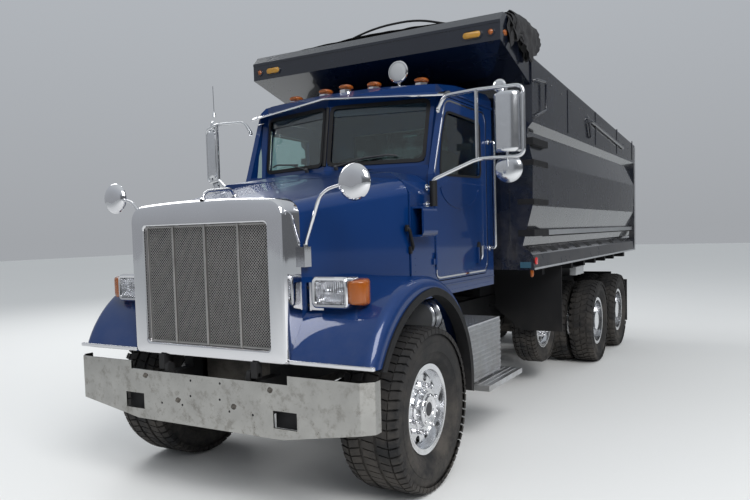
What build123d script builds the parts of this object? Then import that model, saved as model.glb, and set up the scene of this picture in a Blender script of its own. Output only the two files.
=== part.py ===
from build123d import *
import math
import os

os.makedirs("parts", exist_ok=True)

# A long-hood dump truck: one steered axle, one raised axle and two driven axles with twin tyres.
# Lengths are in millimetres. X points to the truck's left, Z up. Y is drawn back from the bumper's
# face, and save() moves it so that the origin lies on the ground below the middle of the truck.

# Clearances
RUNNING = 0.05
SEAT = 0.3
MOVING = 8.0
PIVOT_SIDE = 6.0

# Axle places along the truck
FRONT_AXLE_Y = 895.0
PUSHER_AXLE_Y = 4600.0
DRIVE_FRONT_Y = 6034.0
DRIVE_SPACING = 1342.0
DRIVE_REAR_Y = DRIVE_FRONT_Y + DRIVE_SPACING

# Tyres and wheels
RIM_SEAT_R = 284.0
RIM_FLANGE_R = 306.0
RIM_WALL = 14.0
DISC_T = 22.0
HUB_R = 120.0
FRONT_TYRE_R = 565.0
FRONT_TYRE_W = 420.0
FRONT_FACE_X = 1239.0
FRONT_RIM_W = 311.0
DRIVE_TYRE_R = 533.0
DRIVE_TYRE_W = 280.0
DRIVE_FACE_X = 1225.0
DRIVE_RIM_W = 210.0
TWIN_SPACING = 335.0
PUSHER_TYRE_R = 475.0
PUSHER_TYRE_W = 260.0
PUSHER_FACE_X = 920.0
PUSHER_RIM_W = 210.0
PUSHER_Z = 695.0
SPINDLE_R = 45.0
HAND_HOLES = 10
HAND_HOLE_R = 30.0
HAND_HOLE_PITCH_R = 215.0
DISC_EDGE = 40.0
HUB_PROUD = 10.0

# Frame
RAIL_OUTER_X = 430.0
RAIL_W = 80.0
RAIL_T = 10.0
RAIL_TOP = 1030.0
RAIL_BOTTOM = 760.0
RAIL_FRONT_Y = 260.0
RAIL_REAR_Y = 8005.0
CROSS_TOP = 1000.0
CROSS_BOTTOM = 880.0
CROSS_W = 90.0
END_PLATE_T = 15.0
PINTLE_X = 85.7
PINTLE_Z = 44.5
PINTLE_HOLE_R = 6.75
PINTLE_CENTRE_Z = 850.0

# Front bumper
BUMPER_HALF = 1197.0
BUMPER_WRAP_X = 1262.0
BUMPER_WRAP_Y = 125.0
BUMPER_T = 12.0
BUMPER_TOP = 924.0
BUMPER_NOTCH_Z = 868.0
BUMPER_NOTCH_HALF = 684.0
BUMPER_BOTTOM = 524.0
BUMPER_END_BOTTOM = 618.0
BUMPER_FLAT_HALF = 626.0
TOW_X = 658.0
TOW_W = 180.0
TOW_Z0 = 592.0
TOW_Z1 = 701.0

# Hood, fenders and grille
HINGE_Y = 50.0
HINGE_Z = 900.0
HOOD_T = 15.0
HOOD_FRONT_Y = 200.0
HOOD_REAR_Y = 1155.0
SURROUND_FRONT_Y = 30.0
SURROUND_HALF = 670.0
SURROUND_BOTTOM = 978.0
SURROUND_CORNER_Z = 2003.0
SURROUND_CORNER_R = 110.0
SURROUND_TOP = 2022.0
GRILLE_HALF = 539.0
GRILLE_BOTTOM = 1061.0
GRILLE_TOP = 1856.0
GRILLE_BAR_X = 286.0
FENDER_INNER_X = 600.0
FENDER_OUTER_X = 1262.0
FENDER_ROUND = 70.0
FENDER_T = 15.0
FLARE_X0 = 1185.0
FLARE_X1 = 1274.0
FLARE_BAND = 50.0
REAR_FENDER_X = 1064.0
REAR_FENDER_Y = 1200.0
LAMP_X0 = 744.0
LAMP_X1 = 1014.0
SIGNAL_X = 1114.0
LAMP_Z0 = 1315.0
LAMP_Z1 = 1518.0
LAMP_FRONT_Y = 186.0
LAMP_REAR_Y = 330.0
HOOD_MIRROR_X = 1054.0
HOOD_MIRROR_Y = 220.0
HOOD_MIRROR_Z = 2080.0
HOOD_MIRROR_R = 113.0
HM_BLOCK_X = 706.0
HM_BLOCK_Y0 = 150.0
HM_BLOCK_Y1 = 262.0
HM_BLOCK_Z0 = 1572.0
HM_BLOCK_Z1 = 1698.0
HM_ARM_R = 11.0
HM_ELBOW = (822.0, 220.0, 2038.0)
HM_BEND = 60.0

# Cab
CAB_HALF = 945.0
CAB_WALL = 50.0
CAB_SILL = 1262.0
CAB_REAR_Y = 2850.0
COWL_Y = 1170.0
COWL_BOTTOM = 1445.0
COWL_TOP = 2210.0
BELT_Z = 2290.0
EAVE_Z = 2870.0
FIREWALL_Y = 1430.0
FLOOR_Z = 1330.0
PILLAR_X = 830.0
PILLAR_TOP_X = 855.0
SCREEN_Y = 1476.0
SCREEN_Z = 2303.0
SCREEN_SLOPE_X = 0.3148
SCREEN_SLOPE_Z = 0.1737
GLASS_T = 8.0
NOTCH_ROOM = 20.0
COWL_REAR_Y = 1600.0
COWL_CROWN = 2310.0
# Distance in from the cab's side, and height
COWL_SHOULDER = [(0, 2050), (65, 2150), (165, 2215)]
# Station, crown height, shoulder half-width, shoulder height, height at the side
ROOF_SECTIONS = [
    (1560, 2876, 860, 2874, 2872),
    (1820, 2990, 870, 2948, 2880),
    (2150, 3045, 890, 2985, 2905),
    (2850, 3090, 900, 3020, 2950),
]
DOOR_FRONT_Y = 1580.0
DOOR_REAR_Y = 2712.0
DOOR_BOTTOM = 1385.0
DOOR_TOP = 2840.0
DOOR_HINGE_X = 958.0
DOOR_HINGE_Y = 1572.0
DOOR_BARREL_R = 10.0

# Dump bed
BED_FRONT_Y = 2960.0
BED_REAR_Y = 8222.0
BED_HALF = 1300.0
BED_FLOOR_TOP = 1450.0
BED_FLOOR_T = 60.0
BED_BOARD_FRONT = 3320.0
BED_BOARD_REAR = 3000.0
BED_WALL_X = 1140.0
BED_BOARD_T = 50.0
HEADBOARD_T = 50.0
BED_HINGE_Y = 7950.0
BED_HINGE_Z = 1200.0
BED_PIN_R = 30.0
SILL_BOTTOM = 1040.0
GATE_T = 70.0
GATE_HALF = 1200.0
GATE_BOTTOM = 1430.0
GATE_TOP = 2920.0
GATE_HINGE_Z = 2970.0
SHIELD_LIP_Y = 2181.0
SHIELD_LIP_Z0 = 3312.0
SHIELD_LIP_Z1 = 3474.0
SHIELD_TOP = 3550.0
SHIELD_HALF = 1287.0

# Hoist
HOIST_Y = 3100.0
HOIST_BASE_Z = 950.0
HOIST_EYE_Z = 2750.0
HOIST_HOLE_HALF = 220.0
HOIST_WALL_TOP_Y = 3290.0
HOIST_WALL_SLOPE = 0.28
BARREL_R = 112.0
STAGE_RADII = [95.0, 80.0, 65.0]
TUBE_WALL = 12.0
STAGE_PROUD = 40.0

OVERALL_LENGTH = BED_REAR_Y + MOVING + GATE_T
SIDES = [("left", 1), ("right", -1)]


def save(shape, name):
    """Write one piece, moved from bumper stations to the truck's own origin."""
    solids = [Pos(0, -OVERALL_LENGTH / 2, 0) * solid for solid in shape.solids()]
    export_step(solids[0] if len(solids) == 1 else Compound(solids), f"parts/{name}.step")


def box(x0, x1, y0, y1, z0, z1):
    """Block between two opposite corners."""
    centre = Pos((x0 + x1) / 2, (y0 + y1) / 2, (z0 + z1) / 2)
    return centre * Box(abs(x1 - x0), abs(y1 - y0), abs(z1 - z0))


def side_plate(points, x0, x1):
    """Outline of (y, z) points, given width along X."""
    return extrude(Plane.YZ.offset(x0) * make_face(Polyline(*points, close=True)), x1 - x0)


def front_plate(points, y0, y1):
    """Outline of (x, z) points, given depth along Y."""
    outline = Plane.XZ.offset(-y0) * make_face(Polyline(*points, close=True))
    return extrude(outline, y1 - y0, dir=(0, 1, 0))


def plan_plate(points, z0, z1):
    """Outline of (x, y) points, given height along Z."""
    return extrude(Plane.XY.offset(z0) * make_face(Polyline(*points, close=True)), z1 - z0)


def rod_x(x0, x1, y, z, r):
    """Round bar along X."""
    return Pos((x0 + x1) / 2, y, z) * Rot(0, 90, 0) * Cylinder(r, abs(x1 - x0))


def rod_y(y0, y1, x, z, r):
    """Round bar along Y."""
    return Pos(x, (y0 + y1) / 2, z) * Rot(90, 0, 0) * Cylinder(r, abs(y1 - y0))


def rod_z(z0, z1, x, y, r):
    """Round bar along Z."""
    return Pos(x, y, (z0 + z1) / 2) * Cylinder(r, abs(z1 - z0))


def bar(start, end, r):
    """Round bar between any two points."""
    a = Vector(*start)
    b = Vector(*end)
    plane = Plane(origin=(a + b) / 2, z_dir=b - a)
    return plane * Cylinder(r, (b - a).length)


def pipe(points, r, bend):
    """Bent round tube along straight runs with rounded corners."""
    path = FilletPolyline(*points, radius=bend)
    return sweep(Plane(origin=path @ 0, z_dir=path % 0) * Circle(r), path=path)


def both_sides(shape):
    """The shape and its mirror image."""
    return shape + mirror(shape, about=Plane.YZ)


def turned(points):
    """Round body about the X axis, from (x, radius) points."""
    return revolve(make_face(Polyline(*points, close=True)), axis=Axis.X)


# Wheels, drawn about the X axis with the outer side towards +X


def tyre(radius, width, rim_width):
    """Closed tyre with rounded shoulders, its beads seated inside the rim's flanges."""
    half = width / 2
    bead = RIM_SEAT_R + SEAT
    bead_half = rim_width / 2 - 2 * RIM_WALL - 1
    wall = radius - RIM_FLANGE_R
    profile = [
        (-bead_half, bead),
        (-bead_half - RIM_WALL, RIM_FLANGE_R + SEAT),
        (-0.92 * half, RIM_FLANGE_R + 0.20 * wall),
        (-half, RIM_FLANGE_R + 0.45 * wall),
        (-0.97 * half, RIM_FLANGE_R + 0.75 * wall),
        (-0.89 * half, RIM_FLANGE_R + 0.93 * wall),
        (-0.76 * half, radius),
    ]
    profile += [(-x, r) for x, r in reversed(profile)]
    return turned(profile)


def rim(rim_width, disc_x, hub_x0, hub_x1, bore_r):
    """Wheel rim with its disc and hub; disc_x is the disc's inner face from the rim's middle."""
    half = rim_width / 2
    barrel = turned(
        [
            (-half, RIM_FLANGE_R),
            (-half + RIM_WALL, RIM_FLANGE_R),
            (-half + 2 * RIM_WALL, RIM_SEAT_R),
            (half - 2 * RIM_WALL, RIM_SEAT_R),
            (half - RIM_WALL, RIM_FLANGE_R),
            (half, RIM_FLANGE_R),
            (half, RIM_SEAT_R - RIM_WALL),
            (-half, RIM_SEAT_R - RIM_WALL),
        ]
    )
    inside = RIM_SEAT_R - RIM_WALL
    root = max(-half, min(disc_x + DISC_T, half) - 3 * DISC_T) if disc_x > -half else -half
    disc = turned(
        [
            (disc_x, 0),
            (disc_x, inside - DISC_T),
            (root, inside - 1),
            (root, inside + RIM_WALL / 2),
            (root + 2 * DISC_T, inside + RIM_WALL / 2),
            (root + 2 * DISC_T, inside - 1),
            (disc_x + DISC_T, inside - 2 * DISC_T),
            (disc_x + DISC_T, 0),
        ]
    )
    for i in range(HAND_HOLES):
        angle = 2 * math.pi * i / HAND_HOLES
        y = HAND_HOLE_PITCH_R * math.cos(angle)
        z = HAND_HOLE_PITCH_R * math.sin(angle)
        disc -= rod_x(disc_x - 1, disc_x + DISC_T + 1, y, z, HAND_HOLE_R)
    hub = rod_x(hub_x0, hub_x1, 0, 0, HUB_R)
    wheel = barrel + disc + hub
    return wheel - rod_x(hub_x0 - 1, hub_x1 - DISC_EDGE, 0, 0, bore_r + RUNNING)


def to_side(shape, side):
    """Turn a left-hand wheel into the wheel of the wanted side."""
    return shape if side > 0 else mirror(shape, about=Plane.YZ)


FRONT_MID_X = FRONT_FACE_X - FRONT_TYRE_W / 2
OUTER_MID_X = DRIVE_FACE_X - DRIVE_TYRE_W / 2
INNER_MID_X = OUTER_MID_X - TWIN_SPACING
PUSHER_MID_X = PUSHER_FACE_X - PUSHER_TYRE_W / 2
TWIN_JOINT = -TWIN_SPACING / 2
HUB_INNER = -90.0
FRONT_DISC = 85.0
FRONT_HUB_OUT = FRONT_RIM_W / 2 + HUB_PROUD
DRIVE_HUB_OUT = DRIVE_RIM_W / 2 - HUB_PROUD

for name, side in SIDES:
    place = Pos(FRONT_MID_X, FRONT_AXLE_Y, FRONT_TYRE_R)
    save(to_side(place * tyre(FRONT_TYRE_R, FRONT_TYRE_W, FRONT_RIM_W), side), f"tyre_front_{name}")
    front_rim = rim(FRONT_RIM_W, FRONT_DISC, HUB_INNER, FRONT_HUB_OUT, SPINDLE_R)
    save(to_side(place * front_rim, side), f"wheel_front_{name}")

    place = Pos(PUSHER_MID_X, PUSHER_AXLE_Y, PUSHER_Z)
    save(to_side(place * tyre(PUSHER_TYRE_R, PUSHER_TYRE_W, PUSHER_RIM_W), side), f"tyre_pusher_{name}")
    pusher_rim = rim(PUSHER_RIM_W, PUSHER_RIM_W / 4, HUB_INNER, PUSHER_RIM_W / 2, SPINDLE_R)
    save(to_side(place * pusher_rim, side), f"wheel_pusher_{name}")

    for axle, y in [("drive_front", DRIVE_FRONT_Y), ("drive_rear", DRIVE_REAR_Y)]:
        outer_place = Pos(OUTER_MID_X, y, DRIVE_TYRE_R)
        inner_place = Pos(INNER_MID_X, y, DRIVE_TYRE_R)
        one = tyre(DRIVE_TYRE_R, DRIVE_TYRE_W, DRIVE_RIM_W)
        pair = Compound([outer_place * one, inner_place * one])
        save(to_side(pair, side), f"tyres_{axle}_{name}")
        outer = rim(DRIVE_RIM_W, TWIN_JOINT, TWIN_JOINT + HUB_INNER, DRIVE_HUB_OUT, SPINDLE_R)
        inner = mirror(rim(DRIVE_RIM_W, TWIN_JOINT, TWIN_JOINT, -TWIN_JOINT, SPINDLE_R), about=Plane.YZ)
        inner -= rod_x(TWIN_JOINT - 1, -TWIN_JOINT + 1, 0, 0, HUB_R)
        twin = outer_place * outer + inner_place * inner
        save(to_side(twin, side), f"wheels_{axle}_{name}")

# Ladder frame with its crossmembers, hoist seat, hinge ears and flap arms


def frame():
    rail = box(RAIL_OUTER_X - RAIL_W, RAIL_OUTER_X, RAIL_FRONT_Y, RAIL_REAR_Y, RAIL_BOTTOM, RAIL_TOP)
    rail -= box(
        RAIL_OUTER_X - RAIL_W - 1,
        RAIL_OUTER_X - RAIL_T,
        RAIL_FRONT_Y - 1,
        RAIL_REAR_Y + 1,
        RAIL_BOTTOM + RAIL_T,
        RAIL_TOP - RAIL_T,
    )
    # Horn that carries the bumper and the hood's hinge pin
    rail += box(HORN_X0, RAIL_OUTER_X, BUMPER_T, RAIL_FRONT_Y + CROSS_W, HORN_BOTTOM, HORN_TOP)
    rail += box(HORN_X0, RAIL_OUTER_X, RAIL_FRONT_Y, RAIL_FRONT_Y + CROSS_W, HORN_BOTTOM, RAIL_TOP)
    rail += box(HORN_X0, HORN_X0 + EAR_T, HINGE_Y - EAR_R, HINGE_Y + EAR_R, HORN_TOP, HINGE_Z)
    rail += rod_x(HORN_X0, HORN_X0 + EAR_T, HINGE_Y, HINGE_Z, EAR_R)
    rail += rod_x(HORN_X0, RAIL_OUTER_X, HINGE_Y, HINGE_Z, HOOD_PIN_R)
    # Ears for the bed's hinge, outside the rail
    ear_x = RAIL_OUTER_X + BED_EAR_T
    rail += box(RAIL_OUTER_X - RAIL_T, ear_x, BED_HINGE_Y - BED_EAR_R, RAIL_REAR_Y, CROSS_BOTTOM, RAIL_TOP)
    rail += box(
        RAIL_OUTER_X + PIVOT_SIDE,
        ear_x,
        BED_HINGE_Y - BED_EAR_R,
        BED_HINGE_Y + BED_EAR_R,
        RAIL_TOP - RAIL_W,
        BED_HINGE_Z,
    )
    rail += rod_x(RAIL_OUTER_X + PIVOT_SIDE, ear_x, BED_HINGE_Y, BED_HINGE_Z, BED_EAR_R)
    rail += rod_x(RAIL_OUTER_X - RAIL_W - PIVOT_SIDE, ear_x, BED_HINGE_Y, BED_HINGE_Z, BED_PIN_R)
    # Cab mounts and suspension hangers
    for y in CAB_MOUNT_YS:
        rail += box(RAIL_OUTER_X - RAIL_W, RAIL_OUTER_X, y, y + CROSS_W, RAIL_TOP, CAB_SILL)
    for y in SPRING_EYE_YS:
        rail += box(SPRING_X0, SPRING_X1, y - HANGER_HALF, y + HANGER_HALF, SPRING_EYE_Z, RAIL_BOTTOM)
    rail += box(
        RAIL_OUTER_X - RAIL_T,
        BEAM_X1,
        WALKING_Y - HANGER_HALF,
        WALKING_Y + HANGER_HALF,
        BEAM_TOP,
        RAIL_BOTTOM + RAIL_W,
    )
    for y in PUSHER_ARM_YS:
        rail += box(PUSHER_ARM_X0, RAIL_OUTER_X, y, y + CROSS_W, PUSHER_ARM_TOP, RAIL_BOTTOM)
    # Arms that carry the mud flaps
    for y in FLAP_ARM_YS:
        rail += box(RAIL_OUTER_X - RAIL_T, FLAP_ARM_X, y, y + FLAP_ARM_W, FLAP_ARM_Z, FLAP_ARM_Z + FLAP_ARM_W)
    ladder = both_sides(rail)
    inner = RAIL_OUTER_X - RAIL_T
    for y in CROSS_YS:
        ladder += box(-inner, inner, y, y + CROSS_W, CROSS_BOTTOM, CROSS_TOP)
    ladder += box(-inner, inner, RAIL_REAR_Y - END_PLATE_T, RAIL_REAR_Y, RAIL_BOTTOM, RAIL_TOP)
    for x in (-PINTLE_X / 2, PINTLE_X / 2):
        for z in (-PINTLE_Z / 2, PINTLE_Z / 2):
            ladder -= rod_y(
                RAIL_REAR_Y - END_PLATE_T - 1, RAIL_REAR_Y + 1, x, PINTLE_CENTRE_Z + z, PINTLE_HOLE_R
            )
    # Cradle for the hoist's trunnion
    for side in (-1, 1):
        ladder += box(
            side * (BARREL_R + PIVOT_SIDE),
            side * inner,
            HOIST_Y - CRADLE_HALF,
            HOIST_Y + CRADLE_HALF,
            HOIST_BASE_Z - CRADLE_HALF,
            HOIST_BASE_Z + CRADLE_HALF,
        )
    trunnion = TRUNNION_R + RUNNING
    return ladder - rod_x(-inner - 1, inner + 1, HOIST_Y, HOIST_BASE_Z, trunnion) + both_sides(
        box(inner - 1, RAIL_OUTER_X, HOIST_Y - CROSS_W, HOIST_Y + CROSS_W, RAIL_BOTTOM, RAIL_TOP)
    )


HORN_X0 = 345.0
HORN_BOTTOM = 620.0
HORN_TOP = 860.0
EAR_T = 30.0
EAR_R = 30.0
HOOD_PIN_R = 14.0
BED_EAR_T = 50.0
BED_EAR_R = 60.0
CAB_MOUNT_YS = [1420.0, 2700.0]
SPRING_X0 = 375.0
SPRING_X1 = 475.0
SPRING_EYE_YS = [410.0, 1560.0]
SPRING_EYE_Z = 735.0
HANGER_HALF = 55.0
BEAM_X0 = 450.0
BEAM_X1 = 550.0
BEAM_TOP = 620.0
WALKING_Y = DRIVE_FRONT_Y + DRIVE_SPACING / 2
PUSHER_ARM_X0 = 380.0
PUSHER_ARM_TOP = 650.0
PUSHER_ARM_YS = [4150.0]
FLAP_ARM_YS = [4058.0, 7940.0]
FLAP_ARM_X = 1150.0
FLAP_ARM_W = 35.0
FLAP_ARM_Z = 905.0
CROSS_YS = [1650.0, 2600.0, 3400.0, 4200.0, 5000.0, 5800.0, 6660.0, 7500.0]
CRADLE_HALF = 60.0
TRUNNION_R = 32.0

save(frame(), "frame")

# Front bumper: chrome shell, bent back at its ends


def bumper():
    def outline(inset):
        return [
            (-BUMPER_HALF, inset),
            (BUMPER_HALF, inset),
            (BUMPER_WRAP_X - inset, BUMPER_WRAP_Y / 2),
            (BUMPER_WRAP_X - inset, BUMPER_WRAP_Y + inset),
            (-BUMPER_WRAP_X + inset, BUMPER_WRAP_Y + inset),
            (-BUMPER_WRAP_X + inset, BUMPER_WRAP_Y / 2),
        ]

    shell = plan_plate(outline(0), BUMPER_BOTTOM, BUMPER_TOP)
    shell -= plan_plate(outline(BUMPER_T), BUMPER_BOTTOM - 1, BUMPER_TOP + 1)
    over = BUMPER_WRAP_X + 1
    for side in (-1, 1):
        corner = [
            (side * BUMPER_FLAT_HALF, BUMPER_BOTTOM - 1),
            (side * over, BUMPER_BOTTOM - 1),
            (side * over, BUMPER_END_BOTTOM),
            (side * BUMPER_HALF, BUMPER_END_BOTTOM),
        ]
        shell -= front_plate(corner, -1, BUMPER_WRAP_Y + 1)
        shell -= box(
            side * (TOW_X - TOW_W / 2), side * (TOW_X + TOW_W / 2), -1, BUMPER_T + 1, TOW_Z0, TOW_Z1
        )
    notch = box(
        -BUMPER_NOTCH_HALF, BUMPER_NOTCH_HALF, -1, BUMPER_WRAP_Y + 1, BUMPER_NOTCH_Z, BUMPER_TOP + 1
    )
    return shell - notch


save(bumper(), "front_bumper")

# Engine and gearbox, as one plain block that rests on the rails
ENGINE_HALF = 330.0
ENGINE_Y0 = 380.0
ENGINE_Y1 = 1380.0
ENGINE_BOTTOM = 660.0
ENGINE_TOP = 1840.0
GEARBOX_HALF = 200.0
GEARBOX_Y1 = 2550.0
GEARBOX_TOP = 860.0
MOUNT_ARM_T = 30.0


def engine():
    block = box(-ENGINE_HALF, ENGINE_HALF, ENGINE_Y0, ENGINE_Y1, ENGINE_BOTTOM, ENGINE_TOP)
    block += box(-GEARBOX_HALF, GEARBOX_HALF, ENGINE_Y1, GEARBOX_Y1, ENGINE_BOTTOM, GEARBOX_TOP)
    arm = RAIL_OUTER_X - RAIL_W / 2
    block += box(-arm, arm, FRONT_AXLE_Y, FRONT_AXLE_Y + CROSS_W, RAIL_TOP, RAIL_TOP + MOUNT_ARM_T)
    return block


save(engine(), "engine_block")

RADIATOR_HALF = 500.0
RADIATOR_Y0 = 215.0
RADIATOR_Y1 = 300.0
RADIATOR_TOP = 1850.0
save(box(-RADIATOR_HALF, RADIATOR_HALF, RADIATOR_Y0, RADIATOR_Y1, RAIL_TOP, RADIATOR_TOP), "radiator")

# Front axle: dropped beam, with a boss for each kingpin
KINGPIN_X = 860.0
KINGPIN_R = 20.0
BOSS_R = 45.0
BOSS_HALF = 65.0
LUG_T = 40.0
LUG_R = 42.0
AXLE_DROP_Z = 480.0
AXLE_SEAT_Z = 600.0
AXLE_DROP_X = 600.0
AXLE_HALF_W = 38.0


def front_axle():
    z = FRONT_TYRE_R
    end = KINGPIN_X - KINGPIN_R
    outline = [
        (-end, z - BOSS_HALF),
        (-AXLE_DROP_X, AXLE_DROP_Z),
        (AXLE_DROP_X, AXLE_DROP_Z),
        (end, z - BOSS_HALF),
        (end, z + BOSS_HALF),
        (AXLE_DROP_X, AXLE_SEAT_Z),
        (-AXLE_DROP_X, AXLE_SEAT_Z),
        (-end, z + BOSS_HALF),
    ]
    beam = front_plate(outline, FRONT_AXLE_Y - AXLE_HALF_W, FRONT_AXLE_Y + AXLE_HALF_W)
    for x in (-KINGPIN_X, KINGPIN_X):
        beam += rod_z(z - BOSS_HALF, z + BOSS_HALF, x, FRONT_AXLE_Y, BOSS_R)
    for x in (-KINGPIN_X, KINGPIN_X):
        beam -= rod_z(z - 2 * BOSS_HALF, z + 2 * BOSS_HALF, x, FRONT_AXLE_Y, KINGPIN_R + RUNNING)
    return beam


save(front_axle(), "front_axle")


def knuckle():
    """Left steering knuckle: a fork on the kingpin, a spindle and the brake's back plate."""
    z = FRONT_TYRE_R
    y = FRONT_AXLE_Y
    web_x = KINGPIN_X + BOSS_R + PIVOT_SIDE
    reach = BOSS_HALF + PIVOT_SIDE
    fork = rod_z(z - reach - LUG_T, z - reach, KINGPIN_X, y, LUG_R)
    fork += rod_z(z + reach, z + reach + LUG_T, KINGPIN_X, y, LUG_R)
    fork += box(KINGPIN_X, web_x, y - LUG_R, y + LUG_R, z - reach - LUG_T, z - reach)
    fork += box(KINGPIN_X, web_x, y - LUG_R, y + LUG_R, z + reach, z + reach + LUG_T)
    fork += box(web_x, web_x + LUG_T / 2, y - LUG_R, y + LUG_R, z - reach - LUG_T, z + reach + LUG_T)
    fork += rod_z(z - reach, z + reach, KINGPIN_X, y, KINGPIN_R)
    fork += rod_x(web_x, FRONT_MID_X + FRONT_DISC, y, z, SPINDLE_R)
    return fork


for name, side in SIDES:
    save(to_side(knuckle(), side), f"knuckle_{name}")

# Leaf springs at the front, walking beams between the driven axles
LEAF_T = 60.0


def springs():
    y0, y1 = SPRING_EYE_YS
    seat = AXLE_SEAT_Z
    leaf = side_plate(
        [
            (y0 - HANGER_HALF, SPRING_EYE_Z),
            (y0 + HANGER_HALF, SPRING_EYE_Z),
            (FRONT_AXLE_Y - HANGER_HALF, seat + LEAF_T),
            (FRONT_AXLE_Y + HANGER_HALF, seat + LEAF_T),
            (y1 - HANGER_HALF, SPRING_EYE_Z),
            (y1 + HANGER_HALF, SPRING_EYE_Z),
            (y1 + HANGER_HALF, SPRING_EYE_Z - LEAF_T / 2),
            (FRONT_AXLE_Y + AXLE_HALF_W, seat),
            (FRONT_AXLE_Y - AXLE_HALF_W, seat),
            (y0 - HANGER_HALF, SPRING_EYE_Z - LEAF_T / 2),
        ],
        SPRING_X0,
        SPRING_X1,
    )
    hub_z = DRIVE_TYRE_R
    low = hub_z - HOUSING_R - BEAM_DEPTH
    beam = side_plate(
        [
            (DRIVE_FRONT_Y - BEAM_DEPTH, hub_z - HOUSING_R),
            (DRIVE_FRONT_Y - BEAM_DEPTH, low),
            (DRIVE_REAR_Y + BEAM_DEPTH, low),
            (DRIVE_REAR_Y + BEAM_DEPTH, hub_z - HOUSING_R),
            (DRIVE_REAR_Y - BEAM_DEPTH, hub_z - HOUSING_R),
            (WALKING_Y + HANGER_HALF, BEAM_TOP),
            (WALKING_Y - HANGER_HALF, BEAM_TOP),
            (DRIVE_FRONT_Y + BEAM_DEPTH, hub_z - HOUSING_R),
        ],
        BEAM_X0,
        BEAM_X1,
    )
    return Compound([leaf, mirror(leaf, about=Plane.YZ), beam, mirror(beam, about=Plane.YZ)])


HOUSING_R = 70.0
BEAM_DEPTH = 110.0
save(springs(), "springs")

# Driven axles, with the shafts that join them to the gearbox
BANJO_R = 205.0
BANJO_HALF = 150.0
SHAFT_R = 50.0
SHAFT_Z = 735.0
PINION_Z = 600.0
PINION_LENGTH = 260.0
AXLE_END_X = 590.0


def drive_axles():
    spindle_end = OUTER_MID_X + DRIVE_HUB_OUT - DISC_EDGE - PIVOT_SIDE
    shape = bar(
        (0, GEARBOX_Y1, SHAFT_Z), (0, DRIVE_FRONT_Y - PINION_LENGTH, PINION_Z + SHAFT_R), SHAFT_R
    )
    shape += bar(
        (0, DRIVE_FRONT_Y, PINION_Z), (0, DRIVE_REAR_Y, PINION_Z), SHAFT_R
    )
    for y in (DRIVE_FRONT_Y, DRIVE_REAR_Y):
        shape += rod_x(-AXLE_END_X, AXLE_END_X, y, DRIVE_TYRE_R, HOUSING_R)
        shape += rod_x(-spindle_end, spindle_end, y, DRIVE_TYRE_R, SPINDLE_R)
        shape += rod_x(-BANJO_HALF, BANJO_HALF, y, DRIVE_TYRE_R, BANJO_R)
        shape += rod_y(y - PINION_LENGTH - 20, y, 0, PINION_Z, SHAFT_R + 40)
    end_cut = box(-99, 99, GEARBOX_Y1 - 99, GEARBOX_Y1, SHAFT_Z - 99, SHAFT_Z + 99)
    return shape - end_cut


save(drive_axles(), "drive_axles")

# Raised axle: beam dropped in the middle for the shaft, trailing arms up to the frame
PUSHER_DROP_X = 240.0
PUSHER_DROP = 130.0


def pusher_axle():
    z = PUSHER_Z
    outline = [
        (-PUSHER_ARM_OUT, z - 45),
        (-PUSHER_DROP_X - 60, z - 45),
        (-PUSHER_DROP_X, z - 45 - PUSHER_DROP),
        (PUSHER_DROP_X, z - 45 - PUSHER_DROP),
        (PUSHER_DROP_X + 60, z - 45),
        (PUSHER_ARM_OUT, z - 45),
        (PUSHER_ARM_OUT, z + 45),
        (PUSHER_DROP_X + 20, z + 45),
        (PUSHER_DROP_X - 40, z + 45 - PUSHER_DROP),
        (-PUSHER_DROP_X + 40, z + 45 - PUSHER_DROP),
        (-PUSHER_DROP_X - 20, z + 45),
        (-PUSHER_ARM_OUT, z + 45),
    ]
    shape = front_plate(outline, PUSHER_AXLE_Y - 50, PUSHER_AXLE_Y + 50)
    spindle_end = PUSHER_MID_X + PUSHER_RIM_W / 2 - DISC_EDGE - PIVOT_SIDE
    shape += rod_x(-spindle_end, spindle_end, PUSHER_AXLE_Y, z, SPINDLE_R) - box(
        -PUSHER_ARM_OUT, PUSHER_ARM_OUT, PUSHER_AXLE_Y - 99, PUSHER_AXLE_Y + 99, z - 99, z + 99
    )
    arm_y = PUSHER_ARM_YS[0]
    arm = side_plate(
        [
            (arm_y, PUSHER_ARM_TOP),
            (arm_y + CROSS_W, PUSHER_ARM_TOP),
            (PUSHER_AXLE_Y - 50, z + 40),
            (PUSHER_AXLE_Y - 50, z - 40),
            (arm_y, PUSHER_ARM_TOP - 80),
        ],
        PUSHER_ARM_X0,
        RAIL_OUTER_X,
    )
    return shape + both_sides(arm)


PUSHER_ARM_OUT = 560.0
save(pusher_axle(), "pusher_axle")

# Tanks: fuel on the right, air on the left behind the front wheel
FUEL_R = 330.0
FUEL_X = -790.0
FUEL_Z = 790.0
FUEL_Y0 = 1900.0
FUEL_Y1 = 2950.0
AIR_R = 125.0
AIR_X = 800.0
AIR_Z = 1090.0
AIR_Y0 = 1550.0
AIR_Y1 = 1815.0
STRAP_W = 60.0


def tanks():
    fuel = rod_y(FUEL_Y0, FUEL_Y1, FUEL_X, FUEL_Z, FUEL_R)
    for y in (FUEL_Y0 + 200, FUEL_Y1 - 260):
        fuel += box(FUEL_X, -RAIL_OUTER_X, y, y + STRAP_W, RAIL_BOTTOM, RAIL_TOP - 20)
        fuel += rod_y(y, y + STRAP_W, FUEL_X, FUEL_Z, FUEL_R + 6)
    air = rod_y(AIR_Y0, AIR_Y1, AIR_X, AIR_Z, AIR_R)
    air += box(RAIL_OUTER_X, AIR_X, AIR_Y0 + 60, AIR_Y0 + 60 + STRAP_W, AIR_Z - 90, RAIL_TOP)
    return Compound([fuel, air])


save(tanks(), "tanks")

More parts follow.
